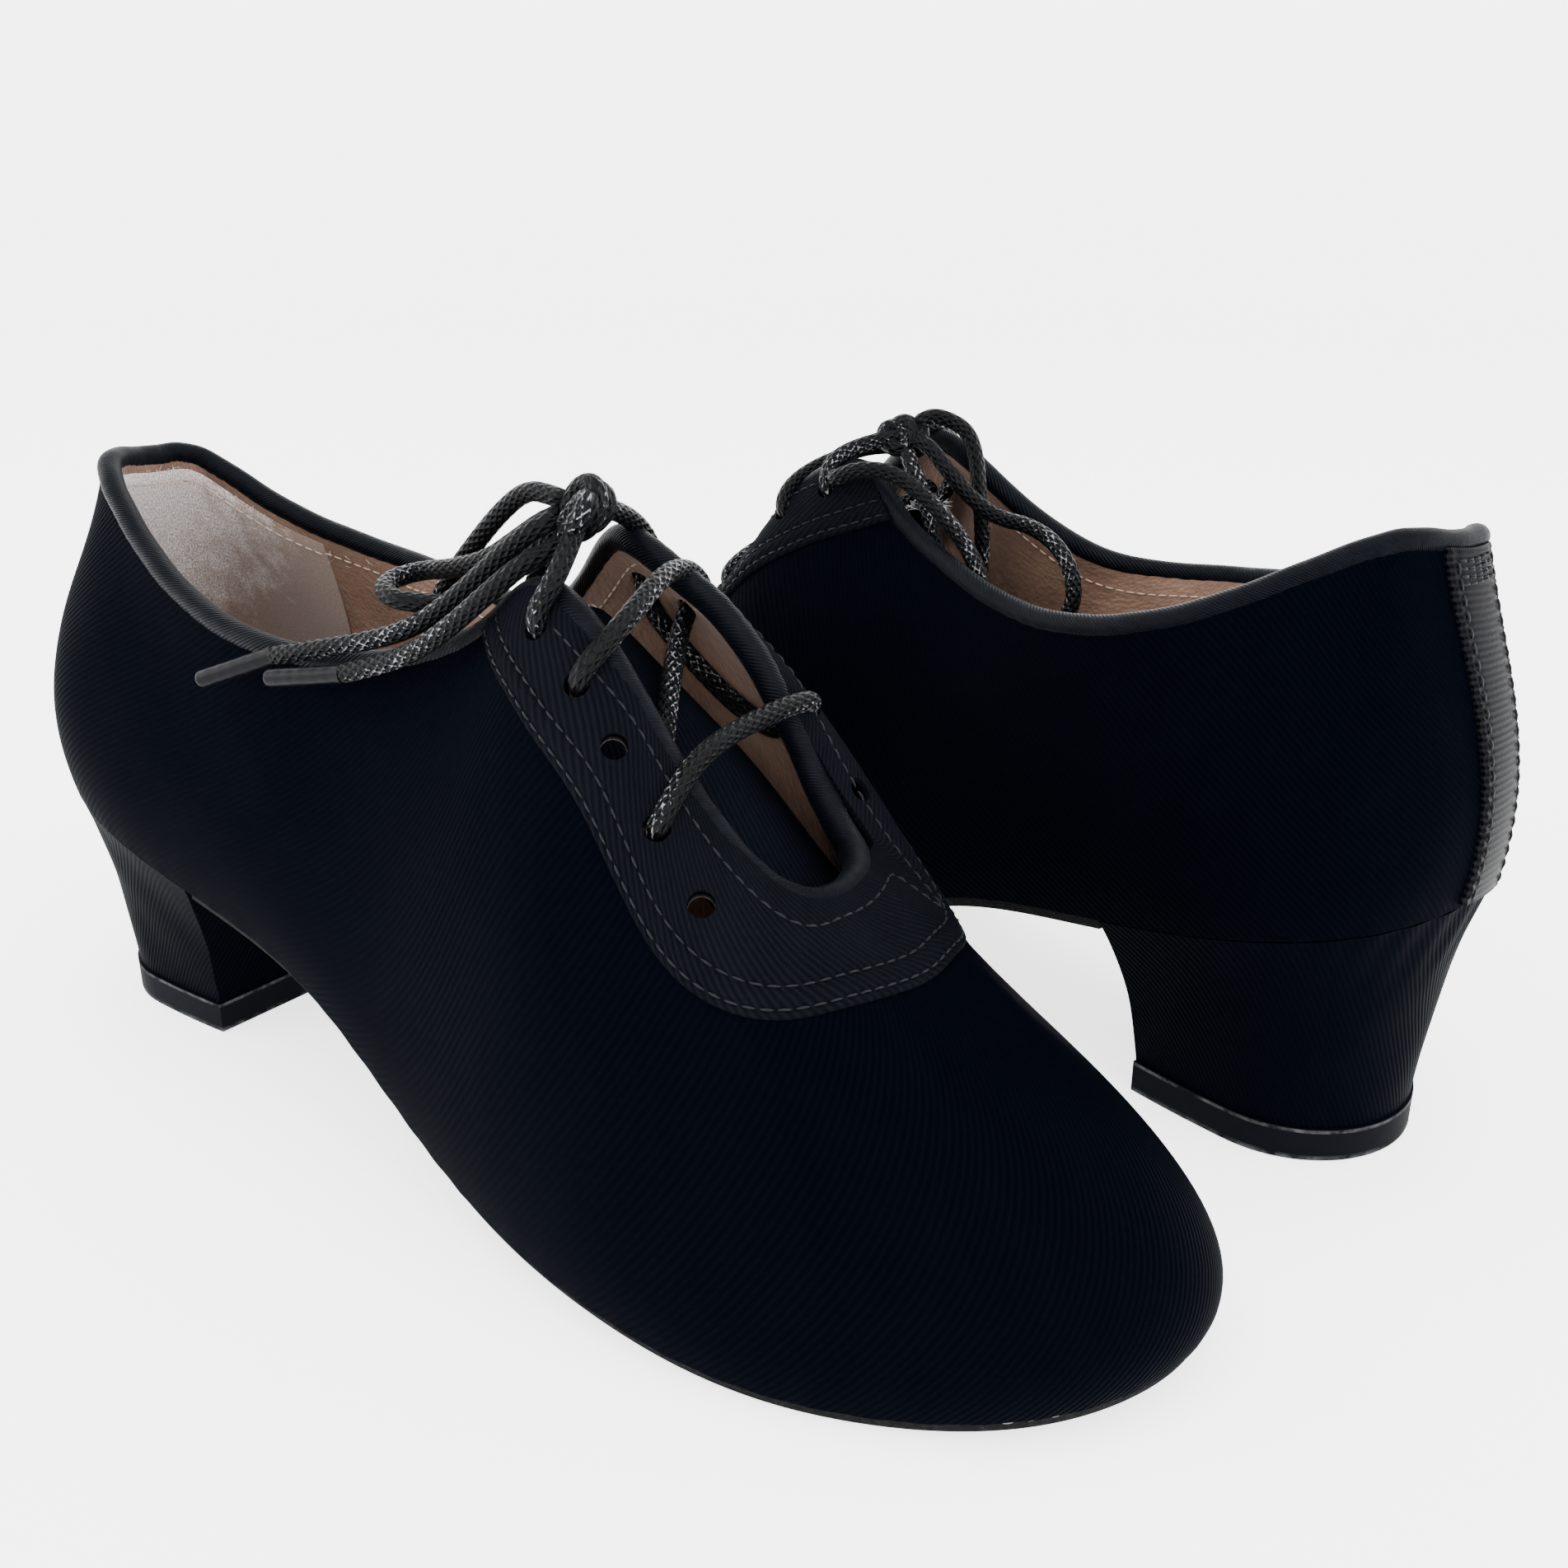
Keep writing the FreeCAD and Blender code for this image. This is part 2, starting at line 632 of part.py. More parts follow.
def over_edge(u, lift):
    """Points above the rolled edge at u, for a lace that crosses it inward."""
    return [layer(u, edge_v(u, BINDING_W + 1), -lift), top_line(u) + skin_normal(u, 1) * lift]


def held_lace(holes, side):
    """The part of the lace that the eyelets hold, with rungs at the second and fourth rows."""
    radius = LACE_D / 2
    high = FACING_T + GLUE + LACE_CLEAR + radius
    low = LINING_IN + LACE_CLEAR + radius
    over = BINDING_OUT + LACE_CLEAR + LACE_OVER + radius
    outer, inner = holes

    def out(uv):
        return layer(*uv, -high)

    def under(uv):
        return layer(*uv, low)

    def beside(uv):
        return layer(uv[0], uv[1] - INNER_RUN_ASIDE, low)

    def cross(u):
        return over_edge(u, over)

    first, last = cross(.298)[::-1], cross(.704)
    points = (
        [from_knot(side, first[0])] + first + [out(outer[0]), under(outer[0]), under(outer[1]),
                                               out(outer[1])]
        + cross(.322) + cross(.679)[::-1]
        + [out(inner[1]), under(inner[1]), under(outer[3]), out(outer[3])]
        + cross(.378) + cross(.618)[::-1]
        + [out(inner[3]), under(inner[3]), beside(inner[2]), beside(inner[1]), under(inner[0]),
           out(inner[0])]
        + last + [from_knot(side, last[1])])
    return tube(points, LACE_D, HOLE_BEND, side + "_lace_rungs")


# The bow of each shoe lies its own way.  A strand's first point is at the knot or the top eyelet, and
# a tail's last point is where its aglet starts; AGLET_ENDS are the aglets' tips.
KNOT_AT = {"right": V(132.5, -1, 110.5), "left": V(131, .5, 105.5)}
KNOT_SIZE = {"right": (6.5, 6, 5), "left": (6, 4.5, 4)}
STRANDS = {
    "right": {
        "bow_loop_a": [
            (125.7, -.6, 111.4), (119.5, 0, 111.5), (113, 0, 107), (105.5, 0, 100),
            (98.5, -.5, 92.5), (94, -.5, 85), (95.5, .5, 78.5), (102, 2, 75.5), (108.5, 3, 80),
            (113, 3.5, 88), (116.5, 3.5, 96.5), (121.5, 3.5, 103.5), (127, 2, 107)],
        "bow_loop_b": [
            (126.4, -2.9, 108.4), (121.5, -4.5, 104.8), (115.5, -5.3, 100.8), (107, -5, 98),
            (98.3, -4.7, 96.2), (96.8, -9.4, 95.6), (99.4, -13.8, 95.2), (104.2, -15.4, 94.6),
            (108.5, -12.9, 94.2), (113.5, -9.8, 94), (118, -7.6, 96.5), (122, -6.3, 100),
            (125.3, -5.2, 103.3), (128.5, -4, 106)],
        "lace_tail_a": [
            (129.5, -7.5, 108.5), (125, -9.5, 105), (120, -11.5, 100), (114.5, -13.8, 95),
            (108, -16, 90.5), (99.5, -18, 87.5), (91, -20, 85.3), (85.5, -21.3, 83.8),
            (80, -22.2, 82.4)],
        "lace_tail_b": [
            (132.5, -6.5, 105.5), (129.3, -11, 103.5), (124.5, -14.5, 98.5), (118, -17, 92.5),
            (110.5, -18.3, 87.5), (103, -20, 84.5), (97, -21.5, 82.5)],
    },
    "left": {
        "bow_loop": [
            (124.2, .1, 104.7), (120, 1.5, 100), (115.5, 4, 94.5), (110.5, 6.5, 91),
            (103.5, 8, 90.5), (96.5, 8, 88), (92, 8, 82.5), (91, 7, 76), (94.5, 4, 70.5),
            (101.5, 0, 69), (108.5, -3.5, 72.5), (113.5, -5, 79.5), (117, -5, 88),
            (120.5, -4.5, 96), (125.5, -3.5, 101.5)],
        "lace_tail_a": [
            (134.2, -17.35, 98.3), (127.5, -15.8, 101.5), (122, -11.8, 101), (116, -9.3, 97),
            (110.5, -7.8, 92.3), (106.3, -5.8, 86.5), (102, -6.5, 80), (98.5, -7.5, 73.5)],
        "lace_tail_b": [
            (127.8, 3.9, 109.4), (125, 6.5, 109), (121.5, 9.3, 106.5), (119, 9.3, 101.5),
            (117, 8, 95.5), (115, 7.3, 88), (114.5, 7, 81), (115, 6.5, 75)],
    },
}
AGLET_ENDS = {"right": {"a": V(65.3, -27.8, 76.4), "b": V(81.5, -24.8, 79.5)},
              "left": {"a": V(94.5, -8.5, 58), "b": V(115.5, 5, 59.5)}}


def knot_solid(at, size):
    """The bow's knot: a wrapped lump a few lace widths across."""
    stretch = FreeCAD.Matrix()
    stretch.scale(*size)
    lump = Part.makeSphere(1.0).transformGeometry(stretch)
    lump.translate(at)
    return lump


def from_knot(side, toward):
    """Where a strand that heads for a point leaves the knot, square to its middle."""
    away = toward - KNOT_AT[side]
    a, b, c = KNOT_SIZE[side]
    reach = 1 / math.sqrt((away.x / a) ** 2 + (away.y / b) ** 2 + (away.z / c) ** 2)
    return KNOT_AT[side] + away * (reach + KNOT_GAP / away.Length)


def bow(side):
    """Free strands of the bow, each a tube along its own route, and the aglets on the tails."""
    parts = {}
    routes = {name: [V(*p) for p in points] for name, points in STRANDS[side].items()}
    for name, points in routes.items():
        parts[name] = tube(points, LACE_D, report=f"{side}_{name}")
    for letter, tip in AGLET_ENDS[side].items():
        start = routes["lace_tail_" + letter][-1]
        way = (tip - start).normalize()
        parts["aglet_" + letter] = rod(AGLET_D, start + way * AGLET_GAP, start + way * AGLET_L)
    return parts


def build_shoe(side):
    """Every node of one shoe, in the right shoe's frame."""
    holes = eyelets()
    rim = BINDING_W + RIM
    parts = {
        "upper": punch(skin_sheet(to_edge(BACK_SEAM, 1 - BACK_SEAM, 0, rim), 0, UPPER_IN, 120, 12),
                       holes),
        "facing": punch(skin_sheet(facing_place, -GLUE - FACING_T, -GLUE, 40, 6), holes),
        "quarter_lining": punch(skin_sheet(to_edge(-.318, .318, 0, rim), LINING_OUT, LINING_IN,
                                           52, 10), holes),
        "vamp_lining": punch(skin_sheet(to_edge(.3205, .6795, 0, rim), LINING_OUT, LINING_IN,
                                        40, 10), holes),
        "heel_counter": skin_sheet(patch(-.16, .16, .02, .62), STIFF_OUT, STIFF_IN, 44, 8),
        "toe_puff": skin_sheet(patch(.375, .625, .02, .46), STIFF_OUT, STIFF_IN, 40, 8),
        "heel_grip": skin_sheet(to_edge(-.12, .12, .16, rim), GRIP_OUT, GRIP_IN, 20, 8),
        "backstrap": skin_sheet(backstrap_place, -GLUE - BACKSTRAP_T, -GLUE, 6, 14),
        "topline_binding": binding(-FACING_TOP_OUT + .0015, FACING_TOP_OUT - .0015, 60),
        "throat_binding": binding(FACING_TOP_OUT + .0015, FACING_TOP_IN - .0015, 48),
        "tongue": tongue_solid(),
    }
    parts.update(heel_parts())
    parts["lace_rungs"] = held_lace(holes, side)
    parts.update(bow(side))
    parts["lace_knot"] = knot_solid(KNOT_AT[side], KNOT_SIZE[side])
    return parts


def place_shape(shape, side):
    """The finished solid in the pair's frame."""
    out = shape.copy()
    if side == "left":
        out = out.mirror(V(0, 0, 0), V(0, 1, 0))
        out.rotate(V(0, 0, 0), V(0, 0, 1), LEFT_YAW)
        out.translate(LEFT_AT)
    out.translate(PAIR_ORIGIN * -1)
    return out


if __name__ == "__main__":
    os.makedirs("parts", exist_ok=True)
    for side in ("right", "left"):
        for node, shape in build_shoe(side).items():
            placed = place_shape(shape, side)
            placed.exportStep(f"parts/{side}_{node}.step")
            box = placed.BoundBox
            print(f"{side}_{node}: {placed.Volume:.0f} mm3, valid {placed.isValid()}, "
                  f"z {box.ZMin:.2f} to {box.ZMax:.2f}")
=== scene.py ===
"""A pair of heeled lace-up dance shoes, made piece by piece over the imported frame."""

import bpy
import numpy as np
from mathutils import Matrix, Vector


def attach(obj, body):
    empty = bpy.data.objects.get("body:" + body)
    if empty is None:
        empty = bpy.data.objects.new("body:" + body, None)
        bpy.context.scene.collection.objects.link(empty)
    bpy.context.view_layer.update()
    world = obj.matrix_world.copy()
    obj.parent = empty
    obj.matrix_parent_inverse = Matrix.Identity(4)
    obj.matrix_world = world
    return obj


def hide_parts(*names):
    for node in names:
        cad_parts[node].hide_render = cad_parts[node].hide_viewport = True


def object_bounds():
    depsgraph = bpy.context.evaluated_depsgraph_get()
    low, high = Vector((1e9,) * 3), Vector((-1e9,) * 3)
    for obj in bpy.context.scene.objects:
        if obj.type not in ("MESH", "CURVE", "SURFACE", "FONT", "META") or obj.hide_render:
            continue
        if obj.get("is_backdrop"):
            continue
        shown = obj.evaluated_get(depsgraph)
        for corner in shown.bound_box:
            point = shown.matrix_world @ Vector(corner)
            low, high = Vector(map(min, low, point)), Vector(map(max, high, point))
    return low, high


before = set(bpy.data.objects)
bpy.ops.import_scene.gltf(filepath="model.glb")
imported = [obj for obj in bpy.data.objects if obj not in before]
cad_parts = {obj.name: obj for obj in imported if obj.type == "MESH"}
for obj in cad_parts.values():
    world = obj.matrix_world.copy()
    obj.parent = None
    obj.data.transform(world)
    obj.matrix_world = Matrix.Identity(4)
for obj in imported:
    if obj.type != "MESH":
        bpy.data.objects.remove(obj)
frame_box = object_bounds()

# ---- Uppers ---------------------------------------------------------------------------------------
# Each upper is blue-black ribbed satin over a firm backing, pulled over the last, closed at the heel
# back and cemented under the sole.  Its section is one curve from the feather line, where it meets the
# sole, to the top line, the edge of the collar and of the U-shaped throat.
PAIR_ORIGIN = np.array([124.37, 53.69, 0.0])
LEFT_AT = np.array([248.5, 82.5, 0.0])
LEFT_YAW = np.radians(171.0)
FEATHER_XY = [
    (2, 0), (8.5, -21), (29.5, -29), (58.5, -29), (89, -30), (119, -33.5), (147, -38.5),
    (176, -39.5), (203.5, -33), (227.5, -19), (238.5, 3), (231.5, 22.5), (209.5, 32), (182, 36),
    (154.5, 33.5), (125, 25.5), (95, 21), (61.5, 23.5), (30.5, 26.5), (9.5, 19.5)]
RISE_X = [0, 30, 60, 90, 120, 145, 168, 195, 220, 245]
RISE_Z = [46.5, 38, 31.5, 24.5, 10.5, 4.5, 2, 0, 1.5, 4.5]
TOP_U = [0, .05, .1, .15, .2, .235, .262, .285, .31, .35, .4, .44, .47, .5, .53, .56, .6, .65, .69,
         .715, .738, .765, .8, .85, .9, .95]
TOP_XYZ = [
    (13, .5, 106.5), (17.5, -10.5, 107.5), (30, -16.5, 101.5), (51, -20.5, 90.5), (79, -19, 84),
    (102, -12.5, 86), (120, -10, 94), (130.5, -9, 101.5), (142.5, -10, 98.5), (152.5, -9.5, 87),
    (164.5, -9.5, 73), (173, -8, 65.5), (177.5, -4.5, 62.5), (179, 1, 62), (177.5, 7, 63),
    (173, 11, 65), (163.5, 12, 74), (149.5, 11.5, 91.5), (136.5, 8.5, 102.5), (127, 10, 105),
    (116.5, 15, 97), (100, 23, 86), (78.5, 29, 84), (51.5, 27, 88), (29, 20, 95), (16, 11, 105)]
FULLNESS = [
    (4.5, 25.5, 5, 20.5), (6.5, 25.5, 4.5, 21), (6, 24.5, 4.5, 21.5), (4, 20.5, 3.5, 22),
    (3, 20, 3.5, 22), (4, 21.5, 12, 15.5), (4.5, 23.5, 17, 11.5), (4.5, 23.5, 17.5, 10),
    (5, 22.5, 19, 10.5), (6.5, 19.5, 20.5, 13.5), (8, 18.5, 20.5, 19), (6.5, 19.5, 17, 18),
    (2.5, 19.5, 16, 15.5), (2.5, 22.5, 20, 10.5), (3, 25.5, 22, 8.5), (2, 26, 17, 11.5),
    (1, 24.5, 7.5, 18.5), (2, 22.5, 6, 19.5), (3, 24.5, 5.5, 20), (4, 25.5, 5, 20.5)]
GLUE = 0.2
UPPER_T = 1.1
OUTSOLE_T = 2.0
BINDING_W = 4.0
SAMPLE = 1e-3
SIDES = ("right", "left")


def smooth(stations, values, closed=False):
    """Cubic through values at stations: on a span of length h with bends M0 and M1 at its ends,
    y = (M0 r^3 + M1 q^3) / 6h + (y0/h - M0 h/6) r + (y1/h - M1 h/6) q, where q is the distance from
    the span's start and r the distance to its end."""
    x, y = np.asarray(stations, float), np.asarray(values, float)
    count = len(x)
    step = np.append(np.diff(x), x[0] + 1 - x[-1])
    rows, right = np.zeros((count, count)), np.zeros(y.shape)
    for i in range(count):
        if not closed and i in (0, count - 1):
            rows[i, i] = 1
            continue
        j = (i + 1) % count
        rows[i, i - 1] += step[i - 1]
        rows[i, i] += 2 * (step[i - 1] + step[i])
        rows[i, j] += step[i]
        right[i] = 6 * ((y[j] - y[i]) / step[i] - (y[i] - y[i - 1]) / step[i - 1])
    bend = np.linalg.solve(rows, right)

    def at(s):
        s = np.asarray(s, float)
        if closed:
            s = (s - x[0]) % 1 + x[0]
        i = np.clip(np.searchsorted(x, s, side="right") - 1, 0, count - (1 if closed else 2))
        j = (i + 1) % count
        h = step[i][..., None]
        q = (s - x[i])[..., None]
        r = h - q
        return ((bend[i] * r ** 3 + bend[j] * q ** 3) / (6 * h)
                + (y[i] / h - bend[i] * h / 6) * r + (y[j] / h - bend[j] * h / 6) * q)
    return at


EVEN = np.arange(20) / 20
feather_xy = smooth(EVEN, FEATHER_XY, True)
rise = smooth(RISE_X, np.array(RISE_Z, float)[:, None])
top_line = smooth(TOP_U, TOP_XYZ, True)
fullness = smooth(EVEN, FULLNESS, True)
SEAT_LIFT = OUTSOLE_T + GLUE - rise(np.arange(150, 240)).min()


def unit(v):
    """v / |v|."""
    return v / np.maximum(np.linalg.norm(v, axis=-1, keepdims=True), 1e-9)


def ease(s):
    """s^2 (3 - 2s), from 0 to 1."""
    s = np.clip(s, 0, 1)
    return s * s * (3 - 2 * s)


def seat_z(x):
    """Height of the last's bottom at x."""
    return rise(x)[..., 0] + SEAT_LIFT


def feather(u):
    """Point of the feather line, a share u of the way round from the heel back."""
    xy = feather_xy(u)
    return np.concatenate([xy, seat_z(xy[..., 0])[..., None]], -1)


def feather_out(u):
    """Level direction square to the feather line: (dy, -dx, 0) made unit."""
    d = feather_xy(u + SAMPLE) - feather_xy(u - SAMPLE)
    return unit(np.stack([d[..., 1], -d[..., 0], 0 * d[..., 0]], -1))


def wall(u):
    """Control points of the section at u: foot, foot + out a + up b, top + over c - up d, top."""
    foot, top, full = feather(u), top_line(u), fullness(u)
    out_low, up_low, out_high, down_high = np.moveaxis(full[..., None], -2, 0)
    up = np.array([0, 0, 1.0])
    square = feather_out(u)
    lean = (foot - top) * [1, 1, 0]
    reach = np.linalg.norm(lean, axis=-1, keepdims=True)
    share = ease((reach - 6) / 12)
    over = unit(square * (1 - share) + lean * (share / np.maximum(reach, 1e-6)))
    return foot, foot + square * out_low + up * up_low, top + over * out_high - up * down_high, top


def skin(u, v):
    """Outside of the upper: a w^3 + 3 b w^2 v + 3 c w v^2 + d v^3 with w = 1 - v."""
    a, b, c, d = wall(u)
    v = np.asarray(v)[..., None]
    w = 1 - v
    return a * w ** 3 + b * (3 * w * w * v) + c * (3 * w * v * v) + d * v ** 3


def skin_normal(u, v):
    """Cross product of the slopes of skin() along u and along v."""
    return unit(np.cross(skin(u + SAMPLE, v) - skin(u - SAMPLE, v),
                         skin(u, v + SAMPLE) - skin(u, v - SAMPLE)))


def layer(u, v, depth):
    """skin() moved depth inwards along its normal."""
    return skin(u, v) - skin_normal(u, v) * np.asarray(depth)[..., None]


def edge_v(u, width):
    """The v that lies width below the top line, measured square to it."""
    _, _, near, top = wall(u)
    along = unit(top_line(u + SAMPLE) - top_line(u - SAMPLE))
    reach = top - near
    square = reach - along * (reach * along).sum(-1, keepdims=True)
    return 1 - width / (3 * np.linalg.norm(square, axis=-1))


def place(points, side):
    """Shoe millimetres to frame metres: the left shoe is mirrored in y, turned and moved first."""
    p = np.array(points, float)
    if side == "left":
        c, s = np.cos(LEFT_YAW), np.sin(LEFT_YAW)
        p = p @ np.array([[c, s, 0], [s, -c, 0], [0, 0, 1]]) + LEFT_AT
    return (p - PAIR_ORIGIN) / 1000


def grid(rows, cols, wrap_rows=False, wrap_cols=False):
    """Corners (i, j), (i+1, j), (i+1, j+1), (i, j+1) of every quad of a grid of points."""
    i, j = np.meshgrid(np.arange(rows - (not wrap_rows)), np.arange(cols - (not wrap_cols)),
                       indexing="ij")
    return (np.stack([i, i + 1, i + 1, i], -1).reshape(-1, 4),
            np.stack([j, j, j + 1, j + 1], -1).reshape(-1, 4))


def two_faced(outer, inner, uv, ring=False):
    """A sheet's points, quads and uv: outer and inner grids joined along every rim.  A ring meets
    itself in its first direction, and its uv has one row more than its points."""
    rows, cols = outer.shape[:2]
    points = np.concatenate([outer, inner[:, ::-1]], 1)
    uv = np.concatenate([uv, uv[:, ::-1]], 1)
    ci, cj = grid(rows, 2 * cols, ring, True)
    faces = [(ci % rows) * 2 * cols + cj % (2 * cols)]
    maps = [uv[ci, cj % (2 * cols)]]
    if not ring:
        j = np.arange(cols - 1)
        for row in (0, rows - 1):
            cap = np.stack([j, j + 1, 2 * cols - 2 - j, 2 * cols - 1 - j], -1)
            faces.append(row * 2 * cols + (cap if row else cap[:, ::-1]))
            maps.append(uv[row, cap if row else cap[:, ::-1]])
    return points.reshape(-1, 3), faces, maps


def piece(name, side, shape, material, replaces=(), crease=0.7, body=None):
    """Mesh object from points, lists of faces and their uv, facing outwards, riding on its shoe."""
    points, faces, maps = shape
    points = place(points, side)
    fan = np.concatenate([np.stack([f[:, 0], f[:, k], f[:, k + 1]], -1)
                          for f in faces for k in range(1, f.shape[1] - 1)])
    a, b, c = points[fan].swapaxes(0, 1)
    if (a * np.cross(b, c)).sum() < 0:
        faces, maps = [f[:, ::-1] for f in faces], [m[:, ::-1] for m in maps]
    mesh = bpy.data.meshes.new(name)
    sizes = np.concatenate([np.full(len(f), f.shape[1]) for f in faces])
    mesh.vertices.add(len(points))
    mesh.vertices.foreach_set("co", points.ravel())
    mesh.loops.add(int(sizes.sum()))
    mesh.loops.foreach_set("vertex_index", np.concatenate([f.ravel() for f in faces]).astype(int))
    mesh.polygons.add(len(sizes))
    mesh.polygons.foreach_set("loop_start", np.append(0, np.cumsum(sizes)[:-1]).astype(int))
    mesh.update(calc_edges=True)
    mesh.uv_layers.new(name="UVMap").data.foreach_set(
        "uv", np.concatenate([m.reshape(-1, 2) for m in maps]).ravel())
    mesh.shade_smooth()
    if crease:
        mesh.set_sharp_from_angle(angle=crease)
    mesh.materials.append(material)
    made = bpy.data.objects.new(name, mesh)
    bpy.context.scene.collection.objects.link(made)
    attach(made, body or side + "_shoe")
    if replaces:
        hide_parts(*[f"{side}_{node}" for node in replaces])
    return made


def wire(tree, kind, inputs=(), **props):
    """Adds a shader node, sets its props, and links or sets each input."""
    node = tree.nodes.new("ShaderNode" + kind)
    for key, value in props.items():
        setattr(node, key, value)
    for key, value in dict(inputs).items():
        if isinstance(value, bpy.types.NodeSocket):
            tree.links.new(value, node.inputs[key])
        else:
            node.inputs[key].default_value = value
    return node


def math(tree, operation, *values):
    """Result of one math node."""
    return wire(tree, "Math", dict(enumerate(values)), operation=operation).outputs[0]


def finish(name, colour, roughness, **constants):
    """New material with the shader's own sockets set: returns it, its tree and its shader."""
    material = bpy.data.materials.new(name)
    material.use_nodes = True
    shader = material.node_tree.nodes["Principled BSDF"]
    shader.inputs["Base Color"].default_value = (*colour, 1)
    shader.inputs["Roughness"].default_value = roughness
    for key, value in constants.items():
        socket = shader.inputs[key.replace("_", " ")]
        socket.default_value = value
    return material, material.node_tree, shader


def ramp(tree, factor, stops):
    """Colour ramp through (position, colour) stops."""
    node = wire(tree, "ValToRGB", {"Fac": factor})
    band = node.color_ramp
    while len(band.elements) < len(stops):
        band.elements.new(0.5)
    for element, (position, colour) in zip(band.elements, stops):
        element.position = position
        element.color = (*colour, 1)
    return node.outputs["Color"]


def bump(tree, shader, height, depth, strength=1.0):
    """Height 0 to 1 as relief, depth metres deep."""
    node = wire(tree, "Bump", {"Height": height, "Distance": depth, "Strength": strength})
    tree.links.new(node.outputs["Normal"], shader.inputs["Normal"])


def noise(tree, where, scale, detail=3.0, rough=0.55):
    """Soft noise, 0 to 1."""
    return wire(tree, "TexNoise", {"Vector": where, "Scale": scale, "Detail": detail,
                                   "Roughness": rough}).outputs["Fac"]


def ribs(tree, angle, pitch, waver=0.25):
    """0.5 + 0.5 sin of the distance along angle over the piece's uv in mm, one turn a pitch."""
    uv = wire(tree, "UVMap", uv_map="UVMap").outputs["UV"]
    turned = wire(tree, "VectorRotate", {"Vector": uv, "Angle": angle}, rotation_type="Z_AXIS")
    across = wire(tree, "SeparateXYZ", {"Vector": turned.outputs["Vector"]}).outputs["X"]
    wander = math(tree, "MULTIPLY", noise(tree, uv, 0.25), waver * pitch)
    phase = math(tree, "MULTIPLY", math(tree, "ADD", across, wander), 2 * np.pi / pitch)
    return math(tree, "MULTIPLY_ADD", math(tree, "SINE", phase), 0.5, 0.5), uv


def ribbed_cloth(name, dark, light, angle, pitch, depth, roughness=0.62):
    """Satin with fine ribs: the ribs' crests are painted lighter, a painted highlight, and faint slubs run
    through them.
    """
    material, tree, shader = finish(name, dark, roughness, Sheen_Weight=0.001, Sheen_Roughness=0.35,
                                    Specular_IOR_Level=0.004)
    shader.inputs["Sheen Tint"].default_value = (0.62, 0.72, 0.95, 1)
    rib, uv = ribs(tree, angle, pitch)
    cloud = noise(tree, uv, 0.06, 4)
    thread = noise(tree, uv, 2.2, 2)
    # Colour: rib crests painted lighter as a painted highlight, plus random cloudy tone and slubs.
    crest_highlight_and_tone = math(tree, "ADD", math(tree, "MULTIPLY", rib, 0.35),
                math(tree, "ADD", math(tree, "MULTIPLY", cloud, 0.45),
                     math(tree, "MULTIPLY", thread, 0.2)))
    tree.links.new(ramp(tree, crest_highlight_and_tone, [(0.25, dark), (0.85, light)]), shader.inputs["Base Color"])
    bump(tree, shader, math(tree, "ADD", math(tree, "MULTIPLY", rib, 0.7),
                            math(tree, "MULTIPLY", thread, 0.3)), depth)
    return material


satin = ribbed_cloth("ribbed_satin", (0.0001, 0.0003, 0.0011), (0.0005, 0.0009, 0.0022),
                     0.85, 1.1, 0.00012)
WALL_ROWS, WALL_COLS = 560, 46


def upper_shape():
    """Ring of sections from the feather line to under the binding; the skin sways in and out by a
    third of a millimetre in long soft waves, which fade at the seat and under the binding.  75 small
    tucks stand along the feather line: 0.056 sin(2 pi 75 u) exp(-v / 0.035), none at the toe."""
    u = np.arange(WALL_ROWS)[:, None] / WALL_ROWS
    t = np.linspace(0, 1, WALL_COLS)[None]
    v = t * edge_v(u, BINDING_W - 1.6)
    u = u + 0 * v
    sway = (np.sin(2 * np.pi * (9 * u + 0.5 * v)) * np.sin(2 * np.pi * (1.3 * v + 3 * u))
            + 0.6 * np.sin(2 * np.pi * (23 * u - 1.7 * v)) * np.sin(np.pi * v)) * np.sin(np.pi * t)
    tuck = 0.056 * np.sin(2 * np.pi * 75 * u) * np.exp(-v / 0.035) * ease(np.abs(u - .5) / .02)
    outer, inner = layer(u, v, -0.14 * sway + tuck), layer(u, v, UPPER_T + 0 * v)
    far = np.concatenate([u, u[:1] + 1])
    uv = np.stack([far * 640, np.concatenate([v, v[:1]]) * 72], -1)
    return two_faced(outer, inner, uv, ring=True)


for side in SIDES:
    piece(side + "_satin_upper", side, upper_shape(), satin, ["upper"])

# ---- Facings --------------------------------------------------------------------------------------
# A U-shaped overlay of the same satin, with its ribs turned, is sewn round the throat with two rows
# 3.4 mm apart.  Its outer edge is folded under, and five plain holes a side are punched for the lace.
FACING_T = 0.7
FACING_TOPS = (.285, .715)
SEAM_XY = [
    (121.5, -12.5), (129, -17.5), (140, -22), (152, -24.5), (163, -26.5), (172, -27), (180.5, -25),
    (187.5, -20.5), (192, -13), (194, -4.5), (194.5, 4.5), (192.5, 13.5), (188.5, 20.5),
    (182, 25.5), (173, 28), (163, 28.5), (152, 27), (140, 24), (129, 20.5), (119, 17)]
EYELET_D = 4.0
EYELETS = (((136.5, -15), (146.5, -17.5), (154, -18.5), (162.5, -19.5), (171.5, -20.5)),
           ((129, 17), (138, 18.5), (148, 18.5), (160, 18.5), (169.5, 18.5)))
SEAM_ROWS = (1.3, 4.7)
facing_satin = ribbed_cloth("facing_satin", (0.0010, 0.0013, 0.002), (0.0034, 0.0038, 0.0055),
                            -0.9, 1.1, 0.00014)


